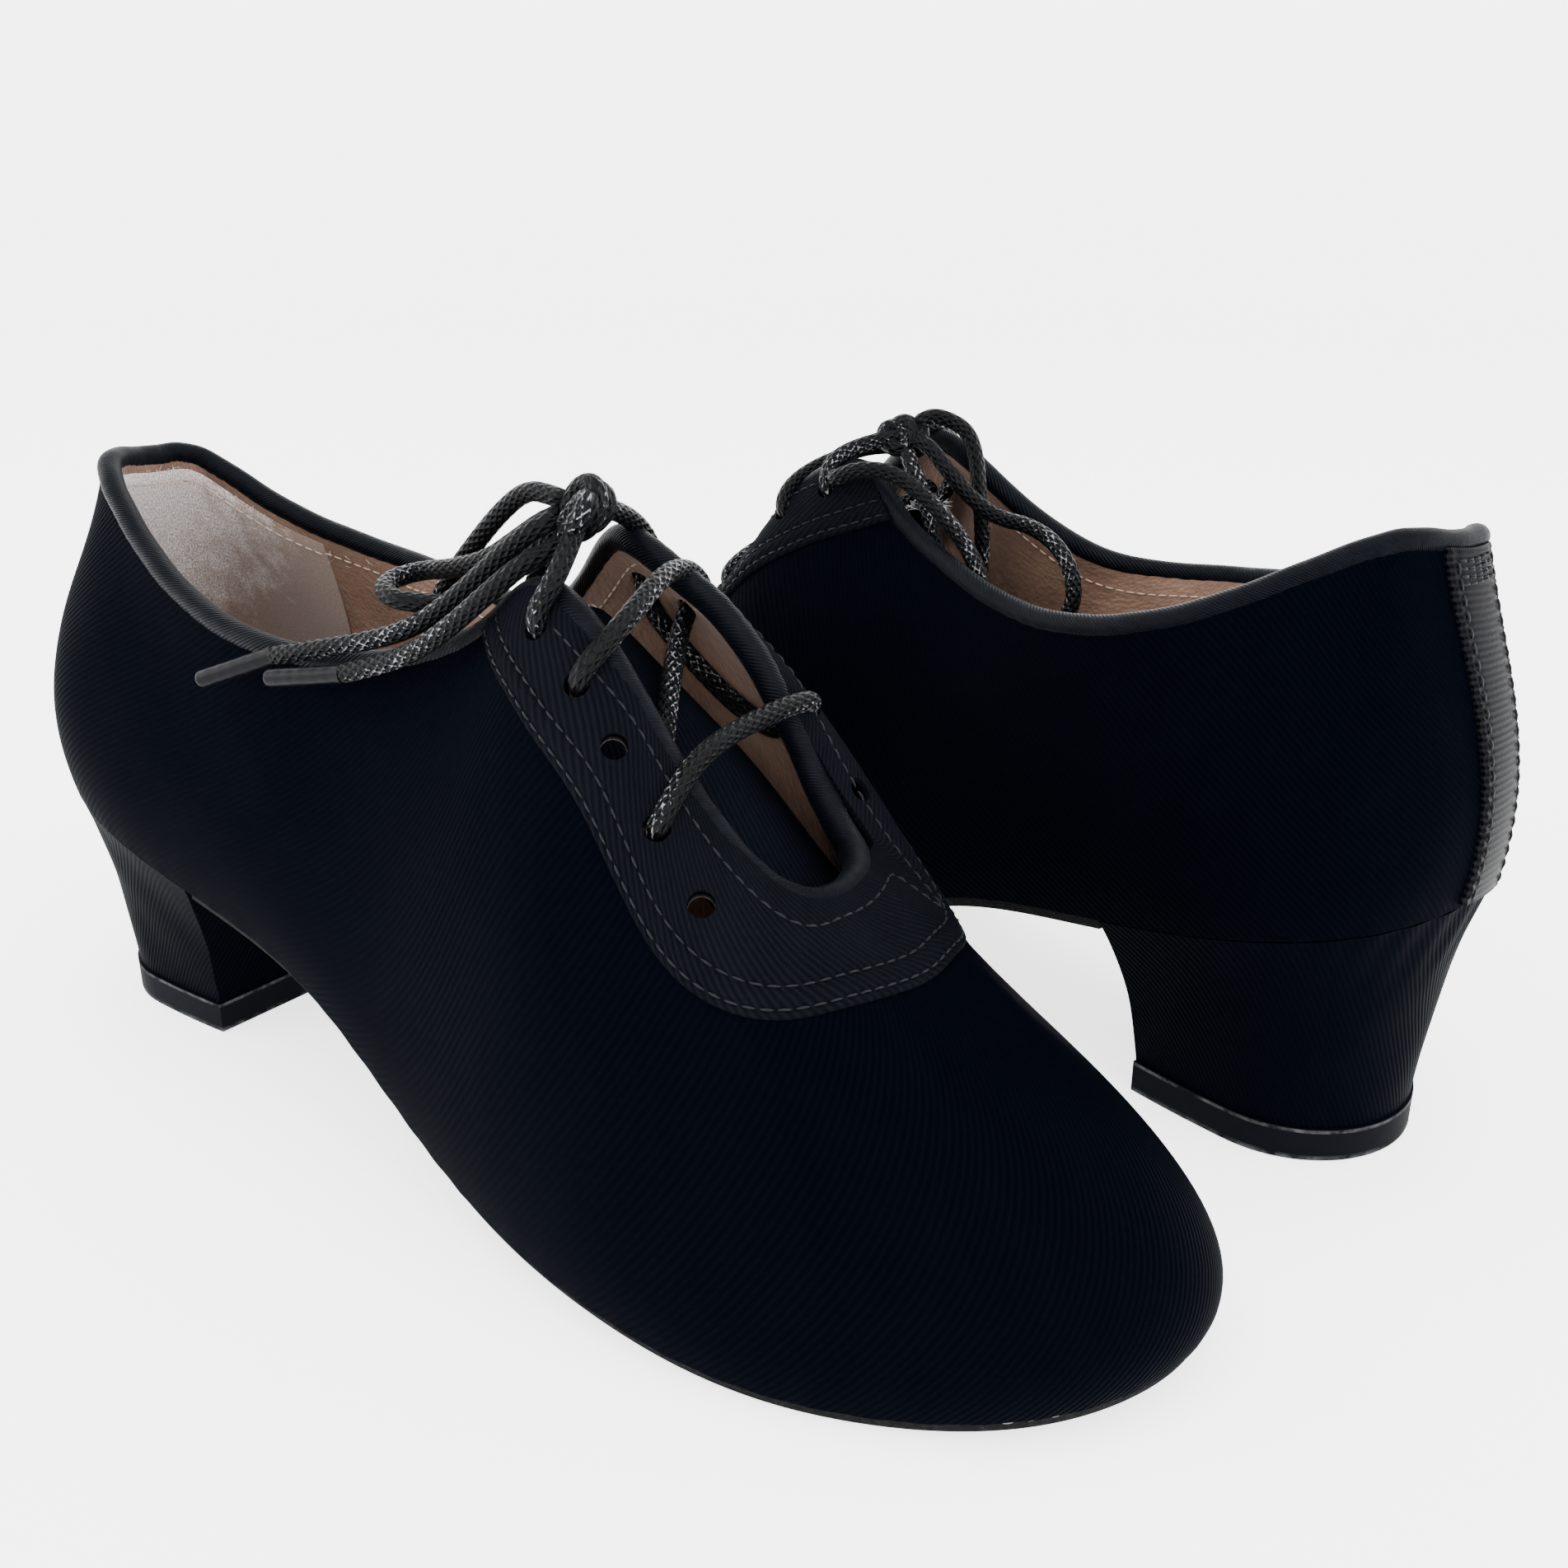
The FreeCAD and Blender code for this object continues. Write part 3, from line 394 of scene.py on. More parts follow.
def locate(xy, u, v):
    """The (u, v) under each plan point in turn, by Newton's method from the point before."""
    found = []
    for x, y in xy:
        for _ in range(12):
            p = skin(u, v)
            a, b = (skin(u + SAMPLE, v) - p) / SAMPLE, (skin(u, v + SAMPLE) - p) / SAMPLE
            det = a[0] * b[1] - a[1] * b[0]
            dx, dy = x - p[0], y - p[1]
            u = u + np.clip((dx * b[1] - dy * b[0]) / det, -.02, .02)
            v = v + np.clip((a[0] * dy - a[1] * dx) / det, -.1, .1)
        found.append((float(u), float(v)))
    return found


seam_uv = smooth(np.linspace(0, 1, len(SEAM_XY)), locate(SEAM_XY, .262, .93))
eyelet_uv = [locate(EYELETS[0], .29, .88), locate(EYELETS[1], .71, .88)]


def facing_place(s, t):
    """(u, v) from the seam (t = 0) to under the throat binding (t = 1), s round the throat."""
    u, v = np.moveaxis(seam_uv(s), -1, 0)
    v = np.minimum(v, edge_v(u, BINDING_W - 1.6))
    u_edge = FACING_TOPS[0] + .001 + (FACING_TOPS[1] - FACING_TOPS[0] - .002) * s
    return u + (u_edge - u) * t, v + (edge_v(u_edge, BINDING_W - 1.6) - v) * t


def facing_width(s):
    """Millimetres across the facing at s, from the slope of layer() over t."""
    return np.linalg.norm(layer(*facing_place(s, np.full_like(s, .02)), 0 * s)
                          - layer(*facing_place(s, 0 * s), 0 * s), axis=-1) / .02


def facing_top(s, t, lift=0.0):
    """Face of the facing: dips 0.3 mm along both rows and rounds over at the folded edge."""
    width = facing_width(s)
    across = t * width
    dips = sum(np.exp(-((across - row) / 0.55) ** 2) for row in SEAM_ROWS)
    quilt = 0.16 * np.exp(-((across - sum(SEAM_ROWS) / 2) / 1.0) ** 2)
    edge = np.sqrt(np.clip(across / 0.8, 0, 1))
    pucker = 0.05 * np.sin(2 * np.pi * s * 85) * np.exp(-((across - 3) / 3.5) ** 2)
    depth = GLUE + (FACING_T + 0.15) * edge - 0.28 * dips + quilt + pucker + lift
    return layer(*facing_place(s, t), -depth)


def facing_shape():
    """Sheet on the upper from the seam to the throat, its columns closer together at the seam."""
    s = np.linspace(0, 1, 420)[:, None] + np.zeros((1, 60))
    t = (np.linspace(0, 1, 60) ** 1.35)[None] + 0 * s
    width = facing_width(s)
    uv = np.stack([s * 190, t * width], -1)
    return two_faced(facing_top(s, t), layer(*facing_place(s, t), -GLUE + 0.05 + 0 * s), uv)


def rods(starts, ends, diameter, sides=20):
    """Straight cylinders from starts to ends, both capped with one point in the middle."""
    starts, ends = np.asarray(starts, float), np.asarray(ends, float)
    way = unit(ends - starts)
    a = unit(np.cross(way, [0.3, 1, 0.2]))
    b = np.cross(way, a)
    angle = np.arange(sides) / sides * 2 * np.pi
    ring = (a[:, None] * np.cos(angle)[:, None] + b[:, None] * np.sin(angle)[:, None]) * diameter / 2
    points = np.concatenate([starts[:, None], starts[:, None] + ring, ends[:, None] + ring,
                             ends[:, None]], 1)
    k = np.arange(sides)
    n = (k + 1) % sides
    wall_f = np.stack([1 + k, 1 + n, 1 + sides + n, 1 + sides + k], -1)
    low = np.stack([0 * k, 1 + n, 1 + k], -1)
    high = np.stack([0 * k + 1 + 2 * sides, 1 + sides + k, 1 + sides + n], -1)
    base = (np.arange(len(starts)) * (2 * sides + 2))[:, None, None]
    faces = [(f[None] + base).reshape(-1, f.shape[1]) for f in (wall_f, low, high)]
    return points.reshape(-1, 3), faces, [np.zeros((*f.shape, 2)) for f in faces]


def punch(target, side):
    """Cuts the ten eyelets through a piece, square to the skin."""
    uv = np.array(eyelet_uv).reshape(-1, 2)
    middle, out = skin(uv[:, 0], uv[:, 1]), skin_normal(uv[:, 0], uv[:, 1])
    points, faces, _ = rods(middle + out * 5, middle - out * 9, EYELET_D, 24)
    mesh = bpy.data.meshes.new("punch")
    mesh.from_pydata(place(points, side).tolist(), [], [f.tolist() for g in faces for f in g])
    if side == "left":
        mesh.flip_normals()
    tool = bpy.data.objects.new("punch", mesh)
    bpy.context.scene.collection.objects.link(tool)
    cut = target.modifiers.new("eyelets", "BOOLEAN")
    cut.operation, cut.solver, cut.object = "DIFFERENCE", "EXACT", tool
    graph = bpy.context.evaluated_depsgraph_get()
    result = bpy.data.meshes.new_from_object(target.evaluated_get(graph))
    target.modifiers.clear()
    plain = target.data
    target.data = result
    result.name = plain.name
    bpy.data.meshes.remove(plain)
    bpy.data.objects.remove(tool)
    bpy.data.meshes.remove(mesh)
    target.data.set_sharp_from_angle(angle=0.7)


for side in SIDES:
    made = piece(side + "_satin_facing", side, facing_shape(), facing_satin, ["facing"])
    punch(made, side)
    punch(bpy.data.objects[side + "_satin_upper"], side)


# ---- Stitching ------------------------------------------------------------------------------------
# Every seam is run with waxed black thread in 2.4 mm stitches, each a small bead of thread that dives
# into the cloth at both ends.
thread, tree, shader = finish("waxed_thread", (0.0045, 0.005, 0.0065), 0.4, Sheen_Weight=0.01,
                              Specular_IOR_Level=0.08)


def stitches(line, up, length=1.9, gap=0.6, thick=0.42, rise_mm=0.16):
    """Beads along a line: bead k spans k (length + gap) onwards, its radius sqrt(1 - (2r - 1)^2) and
    its height sin(pi r) over the share r of its length."""
    span = np.append(0, np.cumsum(np.linalg.norm(np.diff(line, axis=0), axis=1)))
    count = int(span[-1] // (length + gap))
    share = np.array([0.0, 0.18, 0.5, 0.82, 1.0])
    at = (np.arange(count)[:, None] + 0.5 * gap / (length + gap)) * (length + gap) + share * length
    centre = np.stack([np.interp(at, span, line[:, k]) for k in range(3)], -1)
    lift = unit(np.stack([np.interp(at, span, up[:, k]) for k in range(3)], -1))
    along = unit(centre[:, -1:] - centre[:, :1]) + 0 * centre
    aside = unit(np.cross(along, lift))
    centre = centre + lift * (rise_mm * np.sin(np.pi * share))[None, :, None]
    fat = thick / 2 * np.sqrt(np.clip(1 - (1.9 * share - 0.95) ** 2, 0.02, 1))[None, :, None, None]
    angle = np.arange(6) / 6 * 2 * np.pi
    ring = (centre[:, :, None] + fat * (aside[:, :, None] * np.cos(angle)[:, None]
                                        + lift[:, :, None] * np.sin(angle)[:, None]))
    ci, cj = grid(5, 6, False, True)
    quads = ci * 6 + cj % 6
    caps = np.array([[0, 5, 4, 3, 2, 1], [24, 25, 26, 27, 28, 29]])
    base = (np.arange(count) * 30)[:, None, None]
    faces = [(quads[None] + base).reshape(-1, 4), (caps[None] + base).reshape(-1, 6)]
    return ring.reshape(-1, 3), faces, [np.zeros((*f.shape, 2)) for f in faces]


def join(shapes):
    """One shape from several, with their points counted on."""
    points, faces, maps, base = [], [], [], 0
    for p, f, m in shapes:
        points.append(p)
        faces += [g + base for g in f]
        maps += m
        base += len(p)
    return np.concatenate(points), faces, maps


def facing_rows():
    """Both seam rows, and a shorter one outside the throat binding round the bottom of the U."""
    shapes = []
    s = np.linspace(0.004, 0.996, 500)
    for row in SEAM_ROWS:
        t = row / facing_width(s)
        place_uv = facing_place(s, t)
        shapes.append(stitches(facing_top(s, t, 0.05), skin_normal(*place_uv)))
    u = np.linspace(.30, .70, 400)
    v = edge_v(u, BINDING_W + 1.4)
    shapes.append(stitches(layer(u, v, -(GLUE + FACING_T + 0.12) + 0 * u), skin_normal(u, v)))
    return join(shapes)


for side in SIDES:
    piece(side + "_facing_stitches", side, facing_rows(), thread, crease=None)

# ---- Edge bindings --------------------------------------------------------------------------------
# A bias strip of plain satin is rolled over a soft core along the whole collar and throat.  It is
# caught down from inside, so it puckers a little every few millimetres along its lower edge.
BINDING_OUT = 0.9
LINING_IN = 3.0
binding_satin, tree, shader = finish("binding_satin", (0.002, 0.003, 0.006), 0.42, Sheen_Weight=0.008,
                                     Sheen_Roughness=0.35, Specular_IOR_Level=0.035)
uv = wire(tree, "UVMap", uv_map="UVMap").outputs["UV"]
cloud = noise(tree, uv, 0.25, 4)
tree.links.new(ramp(tree, cloud, [(0.3, (0.0005, 0.0008, 0.0018)), (0.75, (0.0017, 0.0024, 0.0042))]),
               shader.inputs["Base Color"])
weave, _ = ribs(tree, 0.78, 0.55, 0.1)
bump(tree, shader, math(tree, "ADD", math(tree, "MULTIPLY", weave, 0.4), cloud), 0.00022)


def binding_shape():
    """Ring of ellipses round the top line, half thickness b and half height h:
    top + n (b cos a - m) + up h (sin a - 1), swollen and nipped by its puckers."""
    u = np.arange(720)[:, None] / 720
    angle = (np.arange(28) / 28 * 2 * np.pi)[None]
    normal, top = skin_normal(u, 1 + 0 * u), top_line(u)
    along = top_line(u + SAMPLE) - top_line(u - SAMPLE)
    up = unit(np.cross(normal, along))
    up = up * np.sign((up * (top - wall(u)[2])).sum(-1, keepdims=True))
    throat = ease((u - .28) / .02) * ease((.72 - u) / .02)
    thick = (BINDING_OUT + LINING_IN + 0.4) / 2
    middle = thick - BINDING_OUT
    pucker = (0.5 + 0.5 * np.sin(2 * np.pi * (150 * u + 0.08 * np.sin(angle)))) * (
        0.35 + 0.65 * np.sin(2 * np.pi * 11 * u) ** 2)
    low = ease((0.35 - np.sin(angle)) / 1.2)
    swell = 1 - 0.055 * pucker * low + 0.02 * np.sin(2 * np.pi * (37 * u) + angle)
    half = thick * (1 + 0.09 * throat) * swell
    tall = (BINDING_W / 2 * (1 + 0.16 * throat)) * swell
    points = (top[:, 0][:, None] + normal[:, 0][:, None] * (half * np.cos(angle) - middle)[..., None]
              + up[:, 0][:, None] * (tall * np.sin(angle) - BINDING_W / 2)[..., None])
    ci, cj = grid(720, 28, True, True)
    return (points.reshape(-1, 3), [(ci % 720) * 28 + cj % 28],
            [np.stack([ci * 0.75, cj * 0.5], -1).astype(float)])


for side in SIDES:
    piece(side + "_rolled_binding", side, binding_shape(), binding_satin,
          ["topline_binding", "throat_binding"], crease=None)

# ---- Linings --------------------------------------------------------------------------------------
# Tan pigskin lines the whole shoe and is stitched down 3 mm below the collar.  A heel grip of pale
# brushed suede is cemented inside the heel, worn through to tan towards its edges.  Behind the
# facings the lining is painted near-black as painted shade, all but a 3 mm tan strip along the throat.
LINING_OUT = 2.2
THROAT_SHADE_MID, THROAT_SHADE_HALF, THROAT_SHADE_TOP = 310.0, 112.0, 63.0
tan_leather, tree, shader = finish("tan_lining_leather", (0.3, 0.2, 0.145), 0.72,
                                   Specular_IOR_Level=0.3, Sheen_Weight=0.1)
uv = wire(tree, "UVMap", uv_map="UVMap").outputs["UV"]
stain = noise(tree, uv, 0.045, 5, 0.6)
hide = ramp(tree, stain, [(0.3, (0.080, 0.042, 0.026)), (0.5, (0.12, 0.066, 0.043)),
                          (0.72, (0.165, 0.097, 0.065))])
# Painted shade: behind the facings, inside the throat, the lining is painted near-black.
throat_shade = wire(tree, "Mix", {}, data_type="RGBA")
run = wire(tree, "SeparateXYZ", {"Vector": uv})
beside = wire(tree, "MapRange", {"Value": math(tree, "ABSOLUTE", math(
    tree, "SUBTRACT", run.outputs["X"], THROAT_SHADE_MID)), "From Min": THROAT_SHADE_HALF, "From Max": THROAT_SHADE_HALF + 4,
    "To Min": 1.0, "To Max": 0.0}).outputs[0]
below = wire(tree, "MapRange", {"Value": run.outputs["Y"], "From Min": THROAT_SHADE_TOP, "From Max": THROAT_SHADE_TOP + 0.8,
                                "To Min": 1.0, "To Max": 0.0}).outputs[0]
tree.links.new(math(tree, "MULTIPLY", beside, below), throat_shade.inputs[0])
tree.links.new(hide, throat_shade.inputs[6])
throat_shade.inputs[7].default_value = (0.0015, 0.0018, 0.003, 1)
tree.links.new(throat_shade.outputs[2], shader.inputs["Base Color"])
pores = wire(tree, "TexVoronoi", {"Vector": uv, "Scale": 1.1}).outputs["Distance"]
bump(tree, shader, math(tree, "ADD", pores, math(tree, "MULTIPLY", noise(tree, uv, 0.5), 0.8)), 0.00018)

suede, tree, shader = finish("brushed_suede", (0.55, 0.5, 0.48), 0.95, Specular_IOR_Level=0.1,
                             Sheen_Weight=0.4, Sheen_Roughness=0.6)
uv = wire(tree, "UVMap", uv_map="UVMap").outputs["UV"]
speck = noise(tree, uv, 1.5, 5, 0.75)
patch = noise(tree, uv, 0.14, 4, 0.6)
worn = wire(tree, "Attribute", attribute_name="worn").outputs["Fac"]
rubbed = math(tree, "ADD", worn, math(tree, "MULTIPLY", math(tree, "SUBTRACT", patch, 0.5), 1.1))
nap = ramp(tree, speck, [(0.36, (0.13, 0.09, 0.072)), (0.5, (0.33, 0.285, 0.27)),
                         (0.64, (0.72, 0.68, 0.67))])
bare = ramp(tree, speck, [(0.35, (0.08, 0.044, 0.028)), (0.62, (0.17, 0.105, 0.073))])
mix = wire(tree, "Mix", {}, data_type="RGBA")
tree.links.new(wire(tree, "MapRange", {"Value": rubbed, "From Min": 0.2, "From Max": 0.75}).outputs[0],
               mix.inputs[0])
tree.links.new(nap, mix.inputs[6])
tree.links.new(bare, mix.inputs[7])
tree.links.new(mix.outputs[2], shader.inputs["Base Color"])
bump(tree, shader, speck, 0.0003)


def lining_shape():
    """Ring of the same sections as the upper, 2.2 to 3 mm inside it, up to inside the binding."""
    u = np.arange(360)[:, None] / 360
    t = np.linspace(0, 1, 30)[None]
    v = t * edge_v(u, BINDING_W - 1.4)
    u = u + 0 * v
    sag = 0.25 * np.sin(2 * np.pi * (7 * u + 1.1 * t)) * np.sin(np.pi * t)
    uv = np.stack([np.concatenate([u, u[:1] + 1]) * 620, np.concatenate([v, v[:1]]) * 70], -1)
    return two_faced(layer(u, v, LINING_OUT + 0.1 + 0 * v), layer(u, v, LINING_IN + sag), uv, ring=True)


GRIP_U = .118


def grip_shape():
    """Sheet from 3.2 to 3.9 mm inside the upper, over the middle of the heel."""
    u = np.linspace(-GRIP_U, GRIP_U, 90)[:, None]
    t = np.linspace(0, 1, 60)[None]
    low = 0.14 + 0.1 * (u / GRIP_U) ** 2
    v = low + (edge_v(u, BINDING_W + 0.6) - low) * t
    u = u + 0 * v
    thin = np.clip(1 - (u / GRIP_U) ** 8, 0, 1) * np.clip(np.minimum(t / 0.04, (1 - t) / 0.02), 0, 1)
    uv = np.stack([u * 620, v * 70], -1)
    return two_faced(layer(u, v, LINING_IN + 0.15 + 0 * v), layer(u, v, LINING_IN + 0.35 + 0.55 * thin),
                     uv)


def lining_row():
    """One row of stitches 3 mm below the collar binding, on the inside."""
    u = np.linspace(.715, 1.285, 900)
    v = edge_v(u, BINDING_W + 2.6)
    return stitches(layer(u, v, LINING_IN + np.where(np.abs(u - 1) < GRIP_U, 0.95, 0.12)),
                    -skin_normal(u, v), length=1.7, thick=0.35, rise_mm=0.1)


tan_thread, tree, shader = finish("tan_thread", (0.34, 0.24, 0.18), 0.6, Sheen_Weight=0.2)
for side in SIDES:
    made = piece(side + "_lining", side, lining_shape(), tan_leather,
                 ["quarter_lining", "vamp_lining"])
    punch(made, side)
    made = piece(side + "_suede_grip", side, grip_shape(), suede, ["heel_grip"])
    share = np.abs(np.linspace(-1, 1, 90))[:, None] + np.zeros((1, 120))
    high = np.concatenate([np.linspace(0, 1, 60), np.linspace(1, 0, 60)])[None] + 0 * share
    worn_out = np.clip(0.9 * share ** 1.6 + 0.75 * (1 - high) ** 1.5, 0, 1)
    made.data.attributes.new("worn", "FLOAT", "POINT").data.foreach_set("value", worn_out.ravel())
    piece(side + "_lining_stitches", side, lining_row(), tan_thread, crease=None)

# ---- Backstraps -----------------------------------------------------------------------------------
# A 12 mm grosgrain tape covers the back seam from the heel to the collar, edge-stitched and tacked at
# the top with a zigzag.  Its ribs run straight across it, 1.2 mm apart.
BACKSTRAP_W = 12.0
STRAP_TOP = BINDING_W - 1.0
grosgrain, tree, shader = finish("grosgrain", (0.006, 0.008, 0.012), 0.4, Sheen_Weight=0.01,
                                 Sheen_Roughness=0.3, Specular_IOR_Level=0.03)
rib, uv = ribs(tree, np.pi / 2, 1.2, 0.1)
cord = noise(tree, uv, 1.8, 2)
# Colour: rib crests painted lighter as a painted highlight, with cord noise varying the tone at random.
tree.links.new(ramp(tree, math(tree, "ADD", math(tree, "MULTIPLY", rib, 0.7),
                               math(tree, "MULTIPLY", cord, 0.3)),
                    [(0.2, (0.0002, 0.0003, 0.0006)), (0.85, (0.0036, 0.0038, 0.005))]),
               shader.inputs["Base Color"])
bump(tree, shader, math(tree, "ADD", math(tree, "MULTIPLY", rib, 0.8),
                        math(tree, "MULTIPLY", cord, 0.2)), 0.00025)


def strap_point(across, high, lift=0.0):
    """Face of the tape: across from -6 to 6 mm, high from 0 to 1, its edges rounded down."""
    v = 0.012 + (edge_v(0 * high, STRAP_TOP) - 0.012) * high
    slope = np.linalg.norm(skin(SAMPLE + 0 * v, v) - skin(-SAMPLE + 0 * v, v), axis=-1) / (2 * SAMPLE)
    edge = np.sqrt(np.clip((BACKSTRAP_W / 2 - np.abs(across)) / 0.5, 0, 1))
    return layer(across / slope, v, -(GLUE + 0.9 * (0.35 + 0.65 * edge) + lift))


def strap_shape():
    """Tape up the back: ribs 0.07 sin(2 pi y / 1.2) high, sunk 0.14 mm along its two stitch rows."""
    high = np.linspace(0, 1, 330)[:, None] + np.zeros((1, 25))
    across = np.linspace(-1, 1, 25)[None] * BACKSTRAP_W / 2 + 0 * high
    across = across * (1 + 0.012 * np.sin(2 * np.pi * high * 21))
    length = 61.0
    dip = 0.14 * np.exp(-((np.abs(across) - 4.6) / 0.35) ** 2)
    rib_mm = 0.07 * np.sin(2 * np.pi * high * length / 1.2)
    uv = np.stack([across, high * length], -1)
    return two_faced(strap_point(across, high, rib_mm - dip), strap_point(across * 0.995, high, -0.85),
                     uv)


def strap_rows():
    """A row up each edge, and a zigzag of seven turns across the top."""
    high = np.linspace(0.01, 0.985, 300)
    shapes = []
    for edge in (-4.6, 4.6):
        line = strap_point(edge + 0 * high, high, 0.02)
        shapes.append(stitches(line, line - [60, -1, 60]))
    k = np.linspace(0, 1, 400)
    swing = np.abs((k * 7) % 2 - 1) * 2 - 1
    line = strap_point(4.4 * swing, 0.90 + 0.075 * k, 0.05)
    shapes.append(stitches(line, line - [60, -1, 60], length=1.5, gap=0.35))
    return join(shapes)


for side in SIDES:
    piece(side + "_grosgrain_strap", side, strap_shape(), grosgrain, ["backstrap"])
    piece(side + "_strap_stitches", side, strap_rows(), thread, crease=None)

# ---- Tongues --------------------------------------------------------------------------------------
# A narrow arched tongue of the same satin is sewn under the vamp; its tip is cut raw and frays.
TONGUE_T = 1.6
TONGUE = [(192, 47.8, 9, 1.5, 1.5), (184, 50.5, 10.5, 2.5, 1.5), (175, 55.5, 12, 3, 1.5),
          (165, 62.5, 13, 3.5, 1.5), (155, 71, 13.5, 4, 1.5), (146, 79, 12.5, 4, 1),
          (137, 86, 10.5, 3.5, 1), (131, 90.2, 9.5, 3, 1), (126, 93.5, 8, 2.5, 1)]
tongue_line = smooth(np.linspace(0, 1, len(TONGUE)), TONGUE)
tongue_cloth = ribbed_cloth("tongue_cloth", (0.001, 0.0014, 0.0026), (0.0035, 0.0042, 0.0065),
                            0.3, 1.0, 0.00012, 0.75)


def tongue_top(s, t):
    """(x, middle + half w, crown - drop w^2) with w = 2t - 1, and a faint ripple at its tip."""
    x, crown, half, drop, mid = np.moveaxis(tongue_line(s), -1, 0)
    w = 2 * t - 1
    ripple = 0.25 * np.sin(3 * np.pi * t + 5 * s) * ease((s - .6) / .4)
    return np.stack([x, mid + half * w, crown - drop * w * w + ripple], -1)


def tongue_shape():
    """Arched sheet 1.6 mm thick, thinned over the last twentieth of its width at each side as the
    square root of the way in from the edge."""
    s = np.linspace(0, 1, 120)[:, None] + np.zeros((1, 40))
    t = np.linspace(0, 1, 40)[None] + 0 * s
    d = 1e-3
    top = tongue_top(s, t)
    down = unit(np.cross(tongue_top(s, t + d) - tongue_top(s, t - d),
                         tongue_top(s + d, t) - tongue_top(s - d, t)))
    down = down * -np.sign(down[..., 2:])
    edge = np.sqrt(np.clip(np.minimum(t, 1 - t) / 0.05, 0.05, 1))
    uv = np.stack([t * 26, s * 82], -1)
    return two_faced(top, top + down * (TONGUE_T * edge)[..., None], uv)


def hairs(roots, ways, lengths, thick, curl):
    """Three-sided threads: root + way l q + curl l q^2, thinning to their tips (q from 0 to 1)."""
    q = np.linspace(0, 1, 5)
    line = (roots[:, None] + ways[:, None] * (lengths[:, None] * q)[..., None]
            + curl[:, None] * (lengths[:, None] * q ** 2)[..., None])
    a = unit(np.cross(ways, [0.31, 0.52, 0.8]))
    b = np.cross(ways, a)
    angle = np.arange(3) / 3 * 2 * np.pi
    ring = a[:, None] * np.cos(angle)[:, None] + b[:, None] * np.sin(angle)[:, None]
    points = line[:, :, None] + ring[:, None] * (thick / 2 * (1 - 0.7 * q))[None, :, None, None]
    ci, cj = grid(5, 3, False, True)
    base = (np.arange(len(roots)) * 15)[:, None, None]
    faces = [((ci * 3 + cj % 3)[None] + base).reshape(-1, 4),
             (np.array([[0, 2, 1], [12, 13, 14]])[None] + base).reshape(-1, 3)]
    return points.reshape(-1, 3), faces, [np.zeros((*f.shape, 2)) for f in faces]


def fray(side):
    """Loose pale threads along the tongue's cut tip."""
    rng = np.random.default_rng(7 if side == "right" else 11)
    count = 90
    t = rng.uniform(0.02, 0.98, count)
    root = tongue_top(np.ones(count), t) - [0, 0, 1.0] * rng.uniform(0.1, 1.3, (count, 1))
    way = unit(np.stack([-1 + 0 * t, rng.normal(0, .5, count), rng.normal(.1, .4, count)], -1))
    return hairs(root, way, rng.uniform(0.5, 2.3, count), 0.16, rng.normal(0, .35, (count, 3)))


pale_thread, tree, shader = finish("pale_fibre", (0.55, 0.54, 0.53), 0.85, Sheen_Weight=0.3)
for side in SIDES:
    piece(side + "_satin_tongue", side, tongue_shape(), tongue_cloth, ["tongue"],
          body=side + "_tongue")
    piece(side + "_tongue_fray", side, fray(side), pale_thread, crease=None,
          body=side + "_tongue")


def fluff():
    """Short pale fibres rubbed up along the top of the heel lining."""
    rng = np.random.default_rng(5)
    count = 260
    u = rng.normal(0, .07, count)
    v = edge_v(u, BINDING_W + rng.uniform(0.0, 5.0, count) ** 1.0)
    inward = -skin_normal(u, v)
    way = unit(inward * 0.6 + rng.normal(0, .7, (count, 3)))
    return hairs(layer(u, v, LINING_IN + 0.5 + 0 * u), way, rng.uniform(0.4, 1.6, count), 0.09,
                 rng.normal(0, .5, (count, 3)))


for side in SIDES:
    piece(side + "_lining_fluff", side, fluff(), pale_thread, crease=None)

# ---- Heels ----------------------------------------------------------------------------------------
# A moulded block heel, waisted above its tip, is covered in the upper's satin, drawn tight and folded
# in small tucks at the top of the back.  A 6 mm rubber tip is pegged on under it; it wears pale at its
# foot and has a painted highlight along its top edge.
HEEL_SEAT_X = 54.0
HEEL_BACK_X, HEEL_BREAST_X = 8.0, 48.5
HEEL_HALF_W, HEEL_MID_Y, HEEL_ROUND = 20.5, -2.5, 0.62
TIP_T = 6.0


def heel_bottom(t):
    """Plan of the heel at its tip, t from -1 to 1 breast to breast: a quarter-wave back, then sides."""
    a = np.minimum(1, np.abs(t) / HEEL_ROUND)
    rest = np.maximum(0, np.abs(t) - HEEL_ROUND) / (1 - HEEL_ROUND)
    x = HEEL_BACK_X + (HEEL_BREAST_X - HEEL_BACK_X) * (0.5 * (1 - np.cos(np.pi / 2 * a)) + 0.5 * rest)
    y = HEEL_HALF_W * (np.sin(np.pi / 2 * a) - 0.05 * rest * rest)
    return np.stack([x, HEEL_MID_Y - np.copysign(y, t)], -1)


near_u = np.linspace(0.05, 0.25, 800)
SEAT_U = [np.interp(HEEL_SEAT_X, feather_xy(sign * near_u)[:, 0], near_u) for sign in (1, -1)]


def heel_side(t, q):
    """Covered side at share q of its height: the tip's plan moves to the seat's by .45 q + .55 q^2.6."""
    seat = feather(t * np.where(t > 0, SEAT_U[0], SEAT_U[1]))
    low = heel_bottom(t)
    flare = (0.45 * q + 0.55 * q ** 2.6)[..., None]
    z = TIP_T + 0.1 + q * (seat[..., 2] - 0.4 - TIP_T)
    return np.concatenate([low + (seat[..., :2] - low) * flare, z[..., None]], -1)


